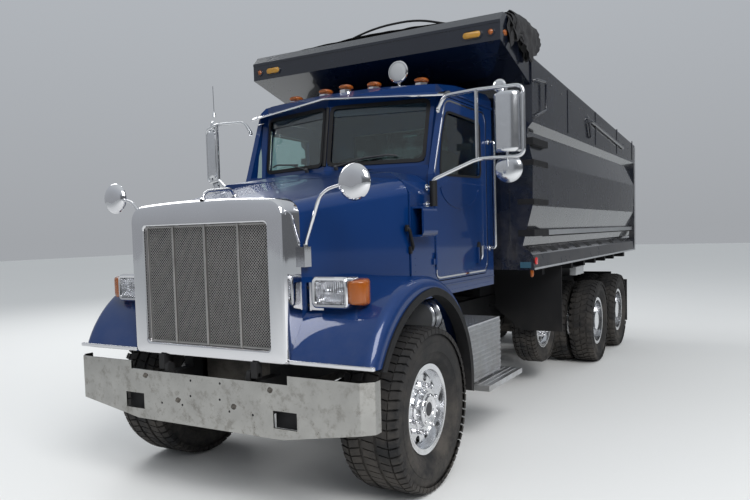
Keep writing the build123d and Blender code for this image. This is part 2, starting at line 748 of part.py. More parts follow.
# Step box on the left, with a lower tread on each side
BOX_X1 = 1100.0
BOX_Y0 = 1830.0
BOX_Y1 = 2560.0
BOX_Z0 = 525.0
BOX_Z1 = 1000.0
TREAD_X = 1222.0
TREAD_Y0 = 1965.0
TREAD_Y1 = 2800.0
TREAD_Z = 455.0
TREAD_T = 45.0


def step_box():
    shape = box(RAIL_OUTER_X, BOX_X1, BOX_Y0, BOX_Y1, BOX_Z0, BOX_Z1)
    for i in range(STEP_RIBS):
        z = BOX_Z0 + (i + 1) * (BOX_Z1 - BOX_Z0) / (STEP_RIBS + 1)
        shape += box(BOX_X1, BOX_X1 + 8, BOX_Y0, BOX_Y1, z - 6, z + 6)
        shape += box(BOX_X1 - 300, BOX_X1, BOX_Y0 - 8, BOX_Y0, z - 6, z + 6)
    left = box(BOX_X1 - 160, TREAD_X, TREAD_Y0, TREAD_Y1, TREAD_Z, TREAD_Z + TREAD_T)
    for y in (TREAD_Y0 + 80, BOX_Y1 - 140):
        left += box(BOX_X1 - 60, BOX_X1 - 20, y, y + 40, TREAD_Z + TREAD_T, BOX_Z0)
    return shape + left


STEP_RIBS = 11


def right_steps():
    shape = box(-TREAD_X, -BOX_X1 + 60, TREAD_Y0, TREAD_Y1, TREAD_Z, TREAD_Z + TREAD_T)
    high = box(-TREAD_X + 60, -BOX_X1 + 40, TREAD_Y0, TREAD_Y1, BOX_Z1 - TREAD_T, BOX_Z1)
    shape += high
    for y in (TREAD_Y0 + 80, TREAD_Y1 - 120):
        post = box(-BOX_X1 - 40, -BOX_X1 - 60, y, y + 40, TREAD_Z, BOX_Z1)
        shape += post - rod_y(y - 1, y + 41, FUEL_X, FUEL_Z, FUEL_R + 6)
    tank = rod_y(FUEL_Y0 - 1, FUEL_Y1 + 1, FUEL_X, FUEL_Z, FUEL_R + 6)
    return shape - tank


save(Compound([step_box(), right_steps()]), "steps")

# Exhaust silencer below the cab's right front corner
EXHAUST_X = -620.0
EXHAUST_Z = 860.0
EXHAUST_R = 130.0


def exhaust():
    body = rod_y(1560, 1880, EXHAUST_X, EXHAUST_Z, EXHAUST_R)
    hanger = box(EXHAUST_X, -RAIL_OUTER_X, 1700, 1740, EXHAUST_Z - 40, EXHAUST_Z + 40)
    return body + hanger


save(exhaust(), "exhaust")

# Mud flaps
FLAP_T = 12.0
FRONT_FLAP_Y = FLAP_ARM_YS[0] - FLAP_T
REAR_FLAP_Y = FLAP_ARM_YS[1] + FLAP_ARM_W


def mud_flaps():
    front = front_plate(
        [(510, 1365), (1258, 1365), (1258, 660), (800, 660), (510, 900)], FRONT_FLAP_Y, FRONT_FLAP_Y + FLAP_T
    )
    rear = box(620, 1215, REAR_FLAP_Y, REAR_FLAP_Y + FLAP_T, 300, FLAP_ARM_Z + FLAP_ARM_W)
    return Compound([front, mirror(front, about=Plane.YZ), rear, mirror(rear, about=Plane.YZ)])


save(mud_flaps(), "mud_flaps")

# Hood: outer skin lofted from the grille to the cowl, open below and at both ends


def hood_section(y, half, bottom, shoulder, corner_x, corner_z, crown, inset):
    """One cross-section of the hood, drawn in by the given inset."""
    w = half - inset
    cx = corner_x - inset * 0.5
    cz = corner_z - inset
    low = bottom - inset
    left = Line((-w, low), (-w, shoulder))
    arc_a = ThreePointArc(
        (-w, shoulder), (-w + (w - cx) * 0.3, shoulder + (cz - shoulder) * 0.7), (-cx, cz)
    )
    top = ThreePointArc((-cx, cz), (0, crown - inset), (cx, cz))
    arc_b = ThreePointArc((cx, cz), (w - (w - cx) * 0.3, shoulder + (cz - shoulder) * 0.7), (w, shoulder))
    right = Line((w, shoulder), (w, low))
    base = Line((w, low), (-w, low))
    return Plane.XZ.offset(-y) * make_face(left + arc_a + top + arc_b + right + base)


def hood_solid(inset, extra):
    # half, bottom, shoulder, corner x, corner z, crown
    front = (655, 985, 1885, 590, 1980, 2012)
    rear = (938, 1300, 2040, 800, 2165, 2212)
    return loft(
        [
            hood_section(HOOD_FRONT_Y - extra, *front, inset),
            hood_section(HOOD_REAR_Y + extra, *rear, inset),
        ]
    )


HOOD_SOLID = hood_solid(0, 0)
save(HOOD_SOLID - hood_solid(HOOD_T, 1), "hood")

# Grille surround with its hinge lugs


def surround():
    half = SURROUND_HALF
    corner = SURROUND_CORNER_R
    mid = corner * (1 - math.sqrt(0.5))
    left = Line((-half, SURROUND_BOTTOM), (-half, SURROUND_CORNER_Z - corner))
    arc_a = ThreePointArc(
        (-half, SURROUND_CORNER_Z - corner),
        (-half + mid, SURROUND_CORNER_Z - mid),
        (-half + corner, SURROUND_CORNER_Z),
    )
    arc_b = ThreePointArc(
        (-half + corner, SURROUND_CORNER_Z), (0, SURROUND_TOP), (half - corner, SURROUND_CORNER_Z)
    )
    arc_c = ThreePointArc(
        (half - corner, SURROUND_CORNER_Z),
        (half - mid, SURROUND_CORNER_Z - mid),
        (half, SURROUND_CORNER_Z - corner),
    )
    right = Line((half, SURROUND_CORNER_Z - corner), (half, SURROUND_BOTTOM))
    base = Line((half, SURROUND_BOTTOM), (-half, SURROUND_BOTTOM))
    face = Plane.XZ.offset(-SURROUND_FRONT_Y) * make_face(left + arc_a + arc_b + arc_c + right + base)
    shape = extrude(face, HOOD_FRONT_Y - SURROUND_FRONT_Y, dir=(0, 1, 0))
    shape -= box(
        -GRILLE_HALF, GRILLE_HALF, SURROUND_FRONT_Y - 1, HOOD_FRONT_Y + 1, GRILLE_BOTTOM, GRILLE_TOP
    )
    for side in (-1, 1):
        x0 = side * (HORN_X0 + EAR_T + PIVOT_SIDE)
        x1 = side * RAIL_OUTER_X
        lug = box(x0, x1, HINGE_Y - LUG_HALF, HINGE_Y + LUG_HALF, HINGE_Z, SURROUND_BOTTOM + 1)
        lug += rod_x(x0, x1, HINGE_Y, HINGE_Z, LUG_HALF)
        lug -= rod_x(x0 - side, x1 + side, HINGE_Y, HINGE_Z, HOOD_PIN_R + RUNNING)
        shape += lug
    return shape


LUG_HALF = 28.0
save(surround(), "grille_surround")

GRILLE_Y = 60.0
GRILLE_T = 15.0
GRILLE_BAR_W = 26.0


def grille():
    half = GRILLE_HALF - SEAT
    shape = box(-half, half, GRILLE_Y, GRILLE_Y + GRILLE_T, GRILLE_BOTTOM + SEAT, GRILLE_TOP - SEAT)
    for x in (-GRILLE_BAR_X, 0, GRILLE_BAR_X):
        shape += box(
            x - GRILLE_BAR_W / 2,
            x + GRILLE_BAR_W / 2,
            GRILLE_Y - GRILLE_T,
            GRILLE_Y,
            GRILLE_BOTTOM + SEAT,
            GRILLE_TOP - SEAT,
        )
    return shape


save(grille(), "grille")

# Fenders: a domed shell over each front wheel, with a black flare along the wheel arch
# Outline points (y, z): front foot, front bulge, crown, rear bulge, rear foot
FENDER_CURVE = [(50, 985), (235, 1270), (800, 1480), (1385, 1205), (1562, 566)]
ARCH_CURVE = [(140, 969), (430, 1275), (885, 1400), (1345, 1145), (1512, 566)]


def arch_face(curve, x, inset, foot_z=None):
    """Face under an arch of two arcs, drawn in towards the axle; foot_z takes it lower down."""
    centre = Vector(FRONT_AXLE_Y, FRONT_TYRE_R)
    points = []
    for y, z in curve:
        out = Vector(y, z) - centre
        scale = (out.length - inset) / out.length
        points.append(centre + out * scale)
    a, b, c, d, e = points
    front = ThreePointArc(a, b, c)
    rear = ThreePointArc(c, d, e)
    if foot_z is None:
        return Plane.YZ.offset(x) * make_face(front + rear + Line(e, a))
    foot_b = Vector(e.X, foot_z)
    foot_a = Vector(a.X, foot_z)
    legs = Line(e, foot_b) + Line(foot_b, foot_a) + Line(foot_a, a)
    return Plane.YZ.offset(x) * make_face(front + rear + legs)


def fender():
    outer = extrude(arch_face(FENDER_CURVE, FENDER_INNER_X, 0), FENDER_OUTER_X - FENDER_INNER_X)
    edges = [
        e
        for e in outer.edges().group_by(Axis.X)[-1]
        if e.geom_type == GeomType.CIRCLE
    ]
    outer = fillet(edges, FENDER_ROUND)
    inner_reach = FENDER_OUTER_X - FENDER_T - FENDER_INNER_X + 1
    inner = extrude(arch_face(FENDER_CURVE, FENDER_INNER_X - 1, FENDER_T), inner_reach)
    edges = [
        e
        for e in inner.edges().group_by(Axis.X)[-1]
        if e.geom_type == GeomType.CIRCLE
    ]
    inner = fillet(edges, FENDER_ROUND - FENDER_T)
    opening = extrude(arch_face(ARCH_CURVE, FENDER_OUTER_X - 6 * FENDER_T, 0, 0), 7 * FENDER_T)
    foot = box(FENDER_INNER_X - 1, FENDER_OUTER_X + 1, 0, 1600, 0, 566)
    low_front = box(FENDER_INNER_X - 1, FENDER_OUTER_X + 1, 0, 400, 0, 985)
    shell = outer - inner - opening - foot - low_front
    shell -= box(FENDER_INNER_X - 1, REAR_FENDER_X, REAR_FENDER_Y, 1700, 500, 1500)
    shell -= HOOD_SOLID
    shell -= box(FENDER_INNER_X - 1, SURROUND_HALF + SEAT, 0, HOOD_FRONT_Y + 1, 900, 1500)
    return shell


def flare():
    band = extrude(arch_face(ARCH_CURVE, FLARE_X0, SEAT), FLARE_X1 - FLARE_X0)
    band -= extrude(arch_face(ARCH_CURVE, FLARE_X0 - 1, FLARE_BAND), FLARE_X1 - FLARE_X0 + 2)
    return band - box(FLARE_X0 - 1, FLARE_X1 + 1, 0, 1600, 0, 566)


FENDER = fender()
save(Compound([FENDER, mirror(FENDER, about=Plane.YZ)]), "fenders")
FLARE = flare()
save(Compound([FLARE, mirror(FLARE, about=Plane.YZ)]), "fender_flares")

# Headlamps with their amber side lamps


def headlamp():
    pod = box(LAMP_X0, LAMP_X1, LAMP_FRONT_Y, LAMP_REAR_Y, LAMP_Z0, LAMP_Z1)
    pod = fillet(pod.edges().filter_by(Axis.Y), 25)
    signal = box(LAMP_X1, SIGNAL_X, LAMP_FRONT_Y + 30, LAMP_REAR_Y, LAMP_Z0 + 20, LAMP_Z1 - 20)
    arm = box(SURROUND_HALF - 30, LAMP_X0, LAMP_FRONT_Y + 30, LAMP_REAR_Y - 20, LAMP_Z0 + 55, LAMP_Z1 - 65)
    return pod + signal + (arm - HOOD_SOLID) - FENDER_FILL


FENDER_FILL = extrude(arch_face(FENDER_CURVE, FENDER_INNER_X, 0), FENDER_OUTER_X - FENDER_INNER_X)
HEADLAMP = headlamp()
save(Compound([HEADLAMP, mirror(HEADLAMP, about=Plane.YZ)]), "headlamps")

# Round mirrors on the hood


def hood_mirror():
    block = box(SURROUND_HALF, HM_BLOCK_X, HM_BLOCK_Y0, HM_BLOCK_Y1, HM_BLOCK_Z0, HM_BLOCK_Z1) - HOOD_SOLID
    start = (HM_BLOCK_X - HM_ARM_R - 2, HM_BLOCK_Y0 + HM_ARM_R + 30, HM_BLOCK_Z1 - 10)
    arm = pipe([start, HM_ELBOW, (HOOD_MIRROR_X - 24, HOOD_MIRROR_Y + 15, HOOD_MIRROR_Z)], HM_ARM_R, HM_BEND)
    disc = Pos(HOOD_MIRROR_X, HOOD_MIRROR_Y + 8, HOOD_MIRROR_Z) * Rot(90, 0, 0)
    return block + arm + disc * Cylinder(HOOD_MIRROR_R, 40)


HOOD_MIRROR = hood_mirror()
save(Compound([HOOD_MIRROR, mirror(HOOD_MIRROR, about=Plane.YZ)]), "hood_mirrors")

# Cab shell


def screen_y(x, z):
    """Station of the sloped, V-shaped windscreen at a half-width and a height."""
    return SCREEN_Y + SCREEN_SLOPE_X * x + SCREEN_SLOPE_Z * (z - SCREEN_Z)


def cab_plan(z, inset):
    """Plan outline of the upper cab at one height."""
    rise = (z - BELT_Z) / (EAVE_Z - BELT_Z)
    pillar = PILLAR_X + (PILLAR_TOP_X - PILLAR_X) * rise
    side_y = 1600 + 230 * rise
    half = CAB_HALF - inset
    right = [
        (half, CAB_REAR_Y - inset),
        (half, side_y + inset),
        (pillar + 62 - inset, screen_y(pillar + 62, z) - 45 + inset),
        (pillar, screen_y(pillar, z) + inset),
        (0, screen_y(0, z) + inset),
    ]
    left = [(-x, y) for x, y in reversed(right[:-1])]
    return Plane.XY.offset(z) * make_face(Polyline(*(right + left), close=True))


def cab_solid(inset):
    """Outer form of the cab, or its hollow when drawn in by the wall."""
    half = CAB_HALF - inset
    front = COWL_Y if inset == 0 else FIREWALL_Y
    floor = CAB_SILL if inset == 0 else FLOOR_Z
    low = side_plate(
        [
            (front, COWL_BOTTOM),
            (front, COWL_TOP - inset),
            (SCREEN_Y + inset, BELT_Z - inset * 0.4),
            (CAB_REAR_Y - inset, BELT_Z - inset * 0.4),
            (CAB_REAR_Y - inset, floor),
            (front + 165, floor),
        ],
        -half,
        half,
    )
    # Shoulders of the cowl fall away ahead of the doors
    shoulder_x = [half] + [CAB_HALF - back - inset for back, z in COWL_SHOULDER[1:]]
    shoulder_z = [z - inset for back, z in COWL_SHOULDER]
    shoulder = front_plate(
        [(-x, z) for x, z in zip(shoulder_x, shoulder_z)]
        + [(0, COWL_CROWN - inset * 0.4)]
        + [(x, z) for x, z in zip(reversed(shoulder_x), reversed(shoulder_z))]
        + [(half, floor), (-half, floor)],
        COWL_Y - 1,
        COWL_REAR_Y + 10 + inset,
    )
    rear = box(-half - 1, half + 1, COWL_REAR_Y + inset, CAB_REAR_Y + 1, floor, BELT_Z)
    low = low & (shoulder + rear)
    base_z = BELT_Z - inset * 0.4
    upper = loft([cab_plan(base_z, inset), cab_plan(EAVE_Z, inset)], ruled=True)
    highest = max(crown for y, crown, x, z, edge in ROOF_SECTIONS)
    roof_plan = extrude(cab_plan(EAVE_Z, inset), highest - EAVE_Z)
    return low + upper + (roof_plan & roof_loft(inset))


def roof_loft(inset):
    """Domed roof through a few cross-sections, each flat below at the eaves."""
    faces = []
    for y, crown, shoulder_x, shoulder_z, edge_z in ROOF_SECTIONS:
        half = CAB_HALF + 1
        x = shoulder_x - inset
        edge = max(edge_z - inset, EAVE_Z + 1)
        shoulder = max(shoulder_z - inset, EAVE_Z + 2)
        top = max(crown - inset, EAVE_Z + 3)
        low_left = [(-x, shoulder), (-half, edge), (-half, EAVE_Z)]
        low_right = [(half, EAVE_Z), (half, edge), (x, shoulder)]
        sides = Polyline(*low_left, *low_right)
        across = ThreePointArc((-x, shoulder), (0, top), (x, shoulder))
        station = y + inset if y < SCREEN_Y + 200 else min(y, CAB_REAR_Y - inset)
        faces.append(Plane.XZ.offset(-station) * make_face(sides + across))
    return loft(faces, ruled=True)


def door_outline(inset):
    """Door outline (y, z), drawn in by the inset."""
    return [
        (DOOR_FRONT_Y + inset, DOOR_BOTTOM + 60),
        (DOOR_FRONT_Y + inset, 2215),
        (1800 + inset, DOOR_TOP - 40),
        (1880, DOOR_TOP - inset),
        (DOOR_REAR_Y - 80, DOOR_TOP - inset),
        (DOOR_REAR_Y - inset, DOOR_TOP - 100),
        (DOOR_REAR_Y - inset, DOOR_BOTTOM + 60),
        (DOOR_REAR_Y - 60, DOOR_BOTTOM + inset),
        (DOOR_FRONT_Y + 60, DOOR_BOTTOM + inset),
    ]


DOOR_WINDOW = [(1690, 2218), (1740, 2500), (1839, 2727), (2549, 2718), (2561, 2238)]
REAR_WINDOW_HALF = 520.0
REAR_WINDOW_Z0 = 2330.0
REAR_WINDOW_Z1 = 2760.0


def screen_pane(thickness, drop, edge):
    """Left windscreen pane as a slab in the screen's plane; the edge inset sets its size."""
    normal = Vector(SCREEN_SLOPE_X, -1, SCREEN_SLOPE_Z).normalized()
    corners = []
    low = [(25 + edge, 2330 + edge), (795 - edge, 2335 + edge)]
    high = [(815 - edge, 2835 - edge), (25 + edge, 2822 - edge)]
    for x, z in low + high:
        corners.append(Vector(x, screen_y(x, z), z) - normal * drop)
    face = make_face(Polyline(*corners, close=True))
    return extrude(face, thickness, dir=-normal)


NOTCH = box(
    -ENGINE_HALF - NOTCH_ROOM,
    ENGINE_HALF + NOTCH_ROOM,
    COWL_Y - 1,
    ENGINE_Y1 + NOTCH_ROOM,
    CAB_SILL - 1,
    ENGINE_TOP + NOTCH_ROOM,
)
CAB_OUTER = cab_solid(0) - NOTCH
CAB_HOLLOW = cab_solid(CAB_WALL)


def cab_shell():
    shell = CAB_OUTER - CAB_HOLLOW
    for side in (-1, 1):
        opening = side_plate(door_outline(-MOVING), CAB_HALF - CAB_WALL - 5, CAB_HALF + 5)
        pane = screen_pane(CAB_WALL * 4, -CAB_WALL, 0)
        hinge = None
        for z in DOOR_HINGE_ZS:
            strap = box(CAB_HALF - 5, DOOR_HINGE_X, DOOR_HINGE_Y - 45, DOOR_HINGE_Y, z - HINGE_HALF, z)
            strap += rod_z(z - HINGE_HALF, z, DOOR_HINGE_X, DOOR_HINGE_Y, DOOR_BARREL_R)
            hinge = strap if hinge is None else hinge + strap
        if side < 0:
            opening = mirror(opening, about=Plane.YZ)
            pane = mirror(pane, about=Plane.YZ)
            hinge = mirror(hinge, about=Plane.YZ)
        shell -= opening
        shell -= pane
        shell += hinge
    shell -= box(
        -REAR_WINDOW_HALF,
        REAR_WINDOW_HALF,
        CAB_REAR_Y - CAB_WALL - 5,
        CAB_REAR_Y + 5,
        REAR_WINDOW_Z0,
        REAR_WINDOW_Z1,
    )
    return shell


DOOR_HINGE_ZS = [1560.0, 2060.0]
HINGE_HALF = 45.0
save(cab_shell(), "cab_shell")


def cab_glass():
    pane = screen_pane(GLASS_T, CAB_WALL / 3, SEAT)
    back = box(
        -REAR_WINDOW_HALF + SEAT,
        REAR_WINDOW_HALF - SEAT,
        CAB_REAR_Y - CAB_WALL / 2,
        CAB_REAR_Y - CAB_WALL / 2 + GLASS_T,
        REAR_WINDOW_Z0 + SEAT,
        REAR_WINDOW_Z1 - SEAT,
    )
    return Compound([pane, mirror(pane, about=Plane.YZ), back])


save(cab_glass(), "cab_glass")


def door():
    shape = side_plate(door_outline(0), CAB_HALF - CAB_WALL, CAB_HALF)
    shape -= side_plate(DOOR_WINDOW, CAB_HALF - CAB_WALL - 1, CAB_HALF + 1)
    for z in DOOR_HINGE_ZS:
        top = z + HINGE_HALF
        shape += box(CAB_HALF, DOOR_HINGE_X, DOOR_HINGE_Y, DOOR_HINGE_Y + 50, z + 1, top)
        shape += rod_z(z + 1, top, DOOR_HINGE_X, DOOR_HINGE_Y, DOOR_BARREL_R)
    shape += box(CAB_HALF, CAB_HALF + 22, 2425, 2460, 1480, 1620)
    return shape


def door_glass():
    """Pane inside the door's window, drawn in by the seat all round."""
    y_mid = sum(p[0] for p in DOOR_WINDOW) / len(DOOR_WINDOW)
    z_mid = sum(p[1] for p in DOOR_WINDOW) / len(DOOR_WINDOW)
    inner = []
    for y, z in DOOR_WINDOW:
        out = Vector(y - y_mid, z - z_mid)
        scale = (out.length - 2 * SEAT) / out.length
        inner.append((y_mid + out.X * scale, z_mid + out.Y * scale))
    x0 = CAB_HALF - CAB_WALL / 2
    return side_plate(inner, x0, x0 + GLASS_T)


for name, side in SIDES:
    save(to_side(door(), side), f"door_{name}")
    save(to_side(door_glass(), side), f"door_glass_{name}")

# Sun visor above the windscreen
VISOR_HALF = 972.0


def visor():
    quads = [
        (0, [(1490, 2876), (1490, 2888), (1720, 2932), (1720, 2920)]),
        (VISOR_HALF, [(1745, 2834), (1745, 2846), (1870, 2885), (1870, 2873)]),
    ]
    faces = [Plane.YZ.offset(x) * make_face(Polyline(*points, close=True)) for x, points in quads]
    half = loft(faces, ruled=True)
    return both_sides(half) - CAB_OUTER


save(visor(), "sun_visor")

# Five amber lamps and one round lamp on the roof
ROOF_LAMPS = [(0, 1840, 3060), (250, 1895, 3060), (-250, 1895, 3060), (650, 1995, 3060), (-650, 1995, 3060)]
DISC_LAMP = (440, 2000, 3133)


def roof_lamps():
    lamps = []
    for x, y, top in ROOF_LAMPS:
        lamps.append(box(x - 60, x + 60, y - 45, y + 60, EAVE_Z, top) - CAB_OUTER)
    x, y, z = DISC_LAMP
    stalk = rod_z(2950, z, x, y + 12, 12) - CAB_OUTER
    lamps.append(stalk + rod_y(y - 20, y + 25, x, z, 95))
    return Compound(lamps)


save(roof_lamps(), "roof_lamps")

# Mirrors on tubular frames, and the grab rails behind the doors
MIRROR_X = 1290.0
MIRROR_Y = 1620.0
MIRROR_Z0 = 2305.0
MIRROR_Z1 = 2817.0
MIRROR_ARM_Y = 1690.0
MIRROR_ARM_Z = 2715.0
GRIP_Y = 1455.0
GRIP_Z0 = 1960.0
GRIP_Z1 = 2150.0
HEAD_AT = 0.62
HEAD_W = 200.0
SPOT_R = 105.0
SPOT_Z = 2222.0
ANTENNA_LENGTH = 280.0
MIRROR_W = 353.0
MIRROR_TUBE_R = 16.0


def mirror_set(swing):
    """Left mirror frame; swing turns its outer half back about the inner tube."""
    swing = math.radians(swing)

    def at(s, back, z):
        x = MIRROR_X + s * math.cos(swing) - back * math.sin(swing)
        y = MIRROR_Y + s * math.sin(swing) + back * math.cos(swing)
        return (x, y, z)

    grip_x = CAB_HALF + RAIL_STANDOFF
    shape = pipe(
        [
            (CAB_HALF - 5, MIRROR_ARM_Y, MIRROR_ARM_Z),
            (CAB_HALF + 60, MIRROR_ARM_Y - 10, MIRROR_Z1),
            at(0, 0, MIRROR_Z1),
            at(MIRROR_W, 0, MIRROR_Z1),
            at(MIRROR_W, 0, MIRROR_Z0),
            at(0, 0, MIRROR_Z0),
            (grip_x, GRIP_Y, GRIP_Z1),
            (grip_x, GRIP_Y, GRIP_Z0),
        ],
        MIRROR_TUBE_R,
        45,
    )
    shape += bar(at(0, 0, MIRROR_Z0), at(0, 0, MIRROR_Z1), MIRROR_TUBE_R - 2)
    shape += rod_x(CAB_HALF, grip_x, GRIP_Y, GRIP_Z0 + 15, MIRROR_TUBE_R - 2)
    shape += rod_x(CAB_HALF, grip_x, GRIP_Y, GRIP_Z1 - 40, MIRROR_TUBE_R - 2)
    turn = Rot(0, 0, math.degrees(swing))
    across = HEAD_AT * MIRROR_W
    head = Pos(*at(across, 25, (MIRROR_Z0 + MIRROR_Z1) / 2)) * turn
    shape += head * Box(HEAD_W, 80, MIRROR_Z1 - MIRROR_Z0 - 70)
    shape += bar(at(across, 0, MIRROR_Z0), at(across, 0, MIRROR_Z1), 9)
    spot = Pos(*at(across, 30, SPOT_Z)) * turn
    shape += spot * Rot(90, 0, 0) * Cylinder(SPOT_R, 30)
    shape += bar(at(across, 20, SPOT_Z), at(across, 0, MIRROR_Z0), 9)
    return shape - CAB_OUTER


def side_mirrors():
    left = mirror_set(LEFT_SWING)
    right = mirror(mirror_set(RIGHT_SWING), about=Plane.YZ)
    right += rod_z(MIRROR_Z1, MIRROR_Z1 + ANTENNA_LENGTH, -MIRROR_X - 60, MIRROR_Y + 38, 5)
    return [left, right]


RAIL_STANDOFF = 55.0
RAIL_R = 14.0
GRAB_RAIL_Y = 2765.0
GRAB_RAIL_ZS = (1605.0, 2572.0)
LEFT_SWING = 5.0
RIGHT_SWING = 32.0


def grab_rail():
    x = CAB_HALF + RAIL_STANDOFF
    y = GRAB_RAIL_Y
    z0, z1 = GRAB_RAIL_ZS
    rail = pipe([(CAB_HALF, y, z1), (x, y, z1 - 8), (x, y, z0 + 8), (CAB_HALF, y, z0)], RAIL_R, 30)
    return rail - CAB_OUTER


GRAB_RAIL = grab_rail()
save(Compound(side_mirrors() + [GRAB_RAIL, mirror(GRAB_RAIL, about=Plane.YZ)]), "mirrors_and_rails")

# Air scoops on the cowl's sides, open to the front
SCOOP_REACH = 105.0
SCOOP_WALL = 15.0
SCOOP_ROUND = 45.0
SCOOP_DEPTH = 170.0
SCOOP_Y0 = 1178.0
SCOOP_Y1 = 1420.0
SCOOP_Z0 = 1735.0
SCOOP_Z1 = 1955.0


def scoop():
    outer_x = CAB_HALF + SCOOP_REACH
    shape = box(CAB_HALF, outer_x, SCOOP_Y0, SCOOP_Y1, SCOOP_Z0, SCOOP_Z1)
    shape = fillet(shape.edges().filter_by(Axis.Y).group_by(Axis.X)[-1], SCOOP_ROUND)
    mouth = box(
        CAB_HALF + SCOOP_WALL,
        outer_x - SCOOP_WALL,
        SCOOP_Y0 - 1,
        SCOOP_Y0 + SCOOP_DEPTH,
        SCOOP_Z0 + SCOOP_WALL,
        SCOOP_Z1 - SCOOP_WALL,
    )
    return shape - mouth


SCOOP = scoop()
save(Compound([SCOOP, mirror(SCOOP, about=Plane.YZ)]), "air_scoops")

# Cab inside: dash, steering wheel and two seats
DASH_Y1 = 1800.0


def dash():
    half = CAB_HALF - CAB_WALL
    shape = side_plate(
        [
            (FIREWALL_Y, 1760),
            (FIREWALL_Y, 2100),
            (1560, 2200),
            (DASH_Y1, 2190),
            (DASH_Y1 + 20, 1900),
            (1700, 1760),
        ],
        -half,
        half,
    )
    door_room = box(half - 75, half + 1, DOOR_FRONT_Y - 20, DASH_Y1 + 30, 1700, 2300)
    return (shape - both_sides(door_room)) & CAB_HOLLOW


WHEEL_CENTRE = (450, 2030, 2080)
WHEEL_R = 225.0
WHEEL_TILT = 35.0
COLUMN_LENGTH = 880.0


def steering_wheel():
    plane = Pos(*WHEEL_CENTRE) * Rot(-WHEEL_TILT, 0, 0)
    shape = plane * Torus(WHEEL_R, 16)
    shape += plane * Box(2 * WHEEL_R, 40, 14)
    shape += plane * Cylinder(55, 40)
    shape += plane * Pos(0, 0, -COLUMN_LENGTH / 2) * Cylinder(28, COLUMN_LENGTH)
    x = WHEEL_CENTRE[0]
    return shape + box(x - 20, x + 20, 1710, 1790, 1690, 1890)


save((dash() + steering_wheel()) & CAB_HOLLOW, "dash")

SEAT_XS = [450, -450]


def seats():
    pieces = []
    for x in SEAT_XS:
        base = box(x - 170, x + 170, 2230, 2560, FLOOR_Z, 1700)
        cushion = box(x - 250, x + 250, 2120, 2620, 1700, 1830)
        back_outline = [(2540, 1830 + SEAT), (2640, 1830 + SEAT), (2720, 2500), (2620, 2500)]
        back = side_plate(back_outline, x - 240, x + 240)
        pieces.append(base + cushion + back)
    return Compound(pieces)


save(seats(), "seats")

# Dump bed


STUB_X = 1306.0
STUB_LENGTH = 460.0
STUB_H = 50.0
STUBS = [(2545, 60), (2355, STUB_H), (1995, STUB_H), (1700, 60)]
SIDE_RAIL_X = 1268.0
SIDE_RAIL_Z = 1705.0


def bed_side_outline(inset):
    """Outer section (x, z) of the left side wall from the floor rail up to the board."""
    return [
        (BED_HALF - inset, 1387),
        (1286 - inset, 1529),
        (1194 - inset, 1614),
        (1293 - inset, 1982),
        (1299 - inset, 2392),
        (1237 - inset, 2673),
        (BED_HALF - inset, 2742),
    ]


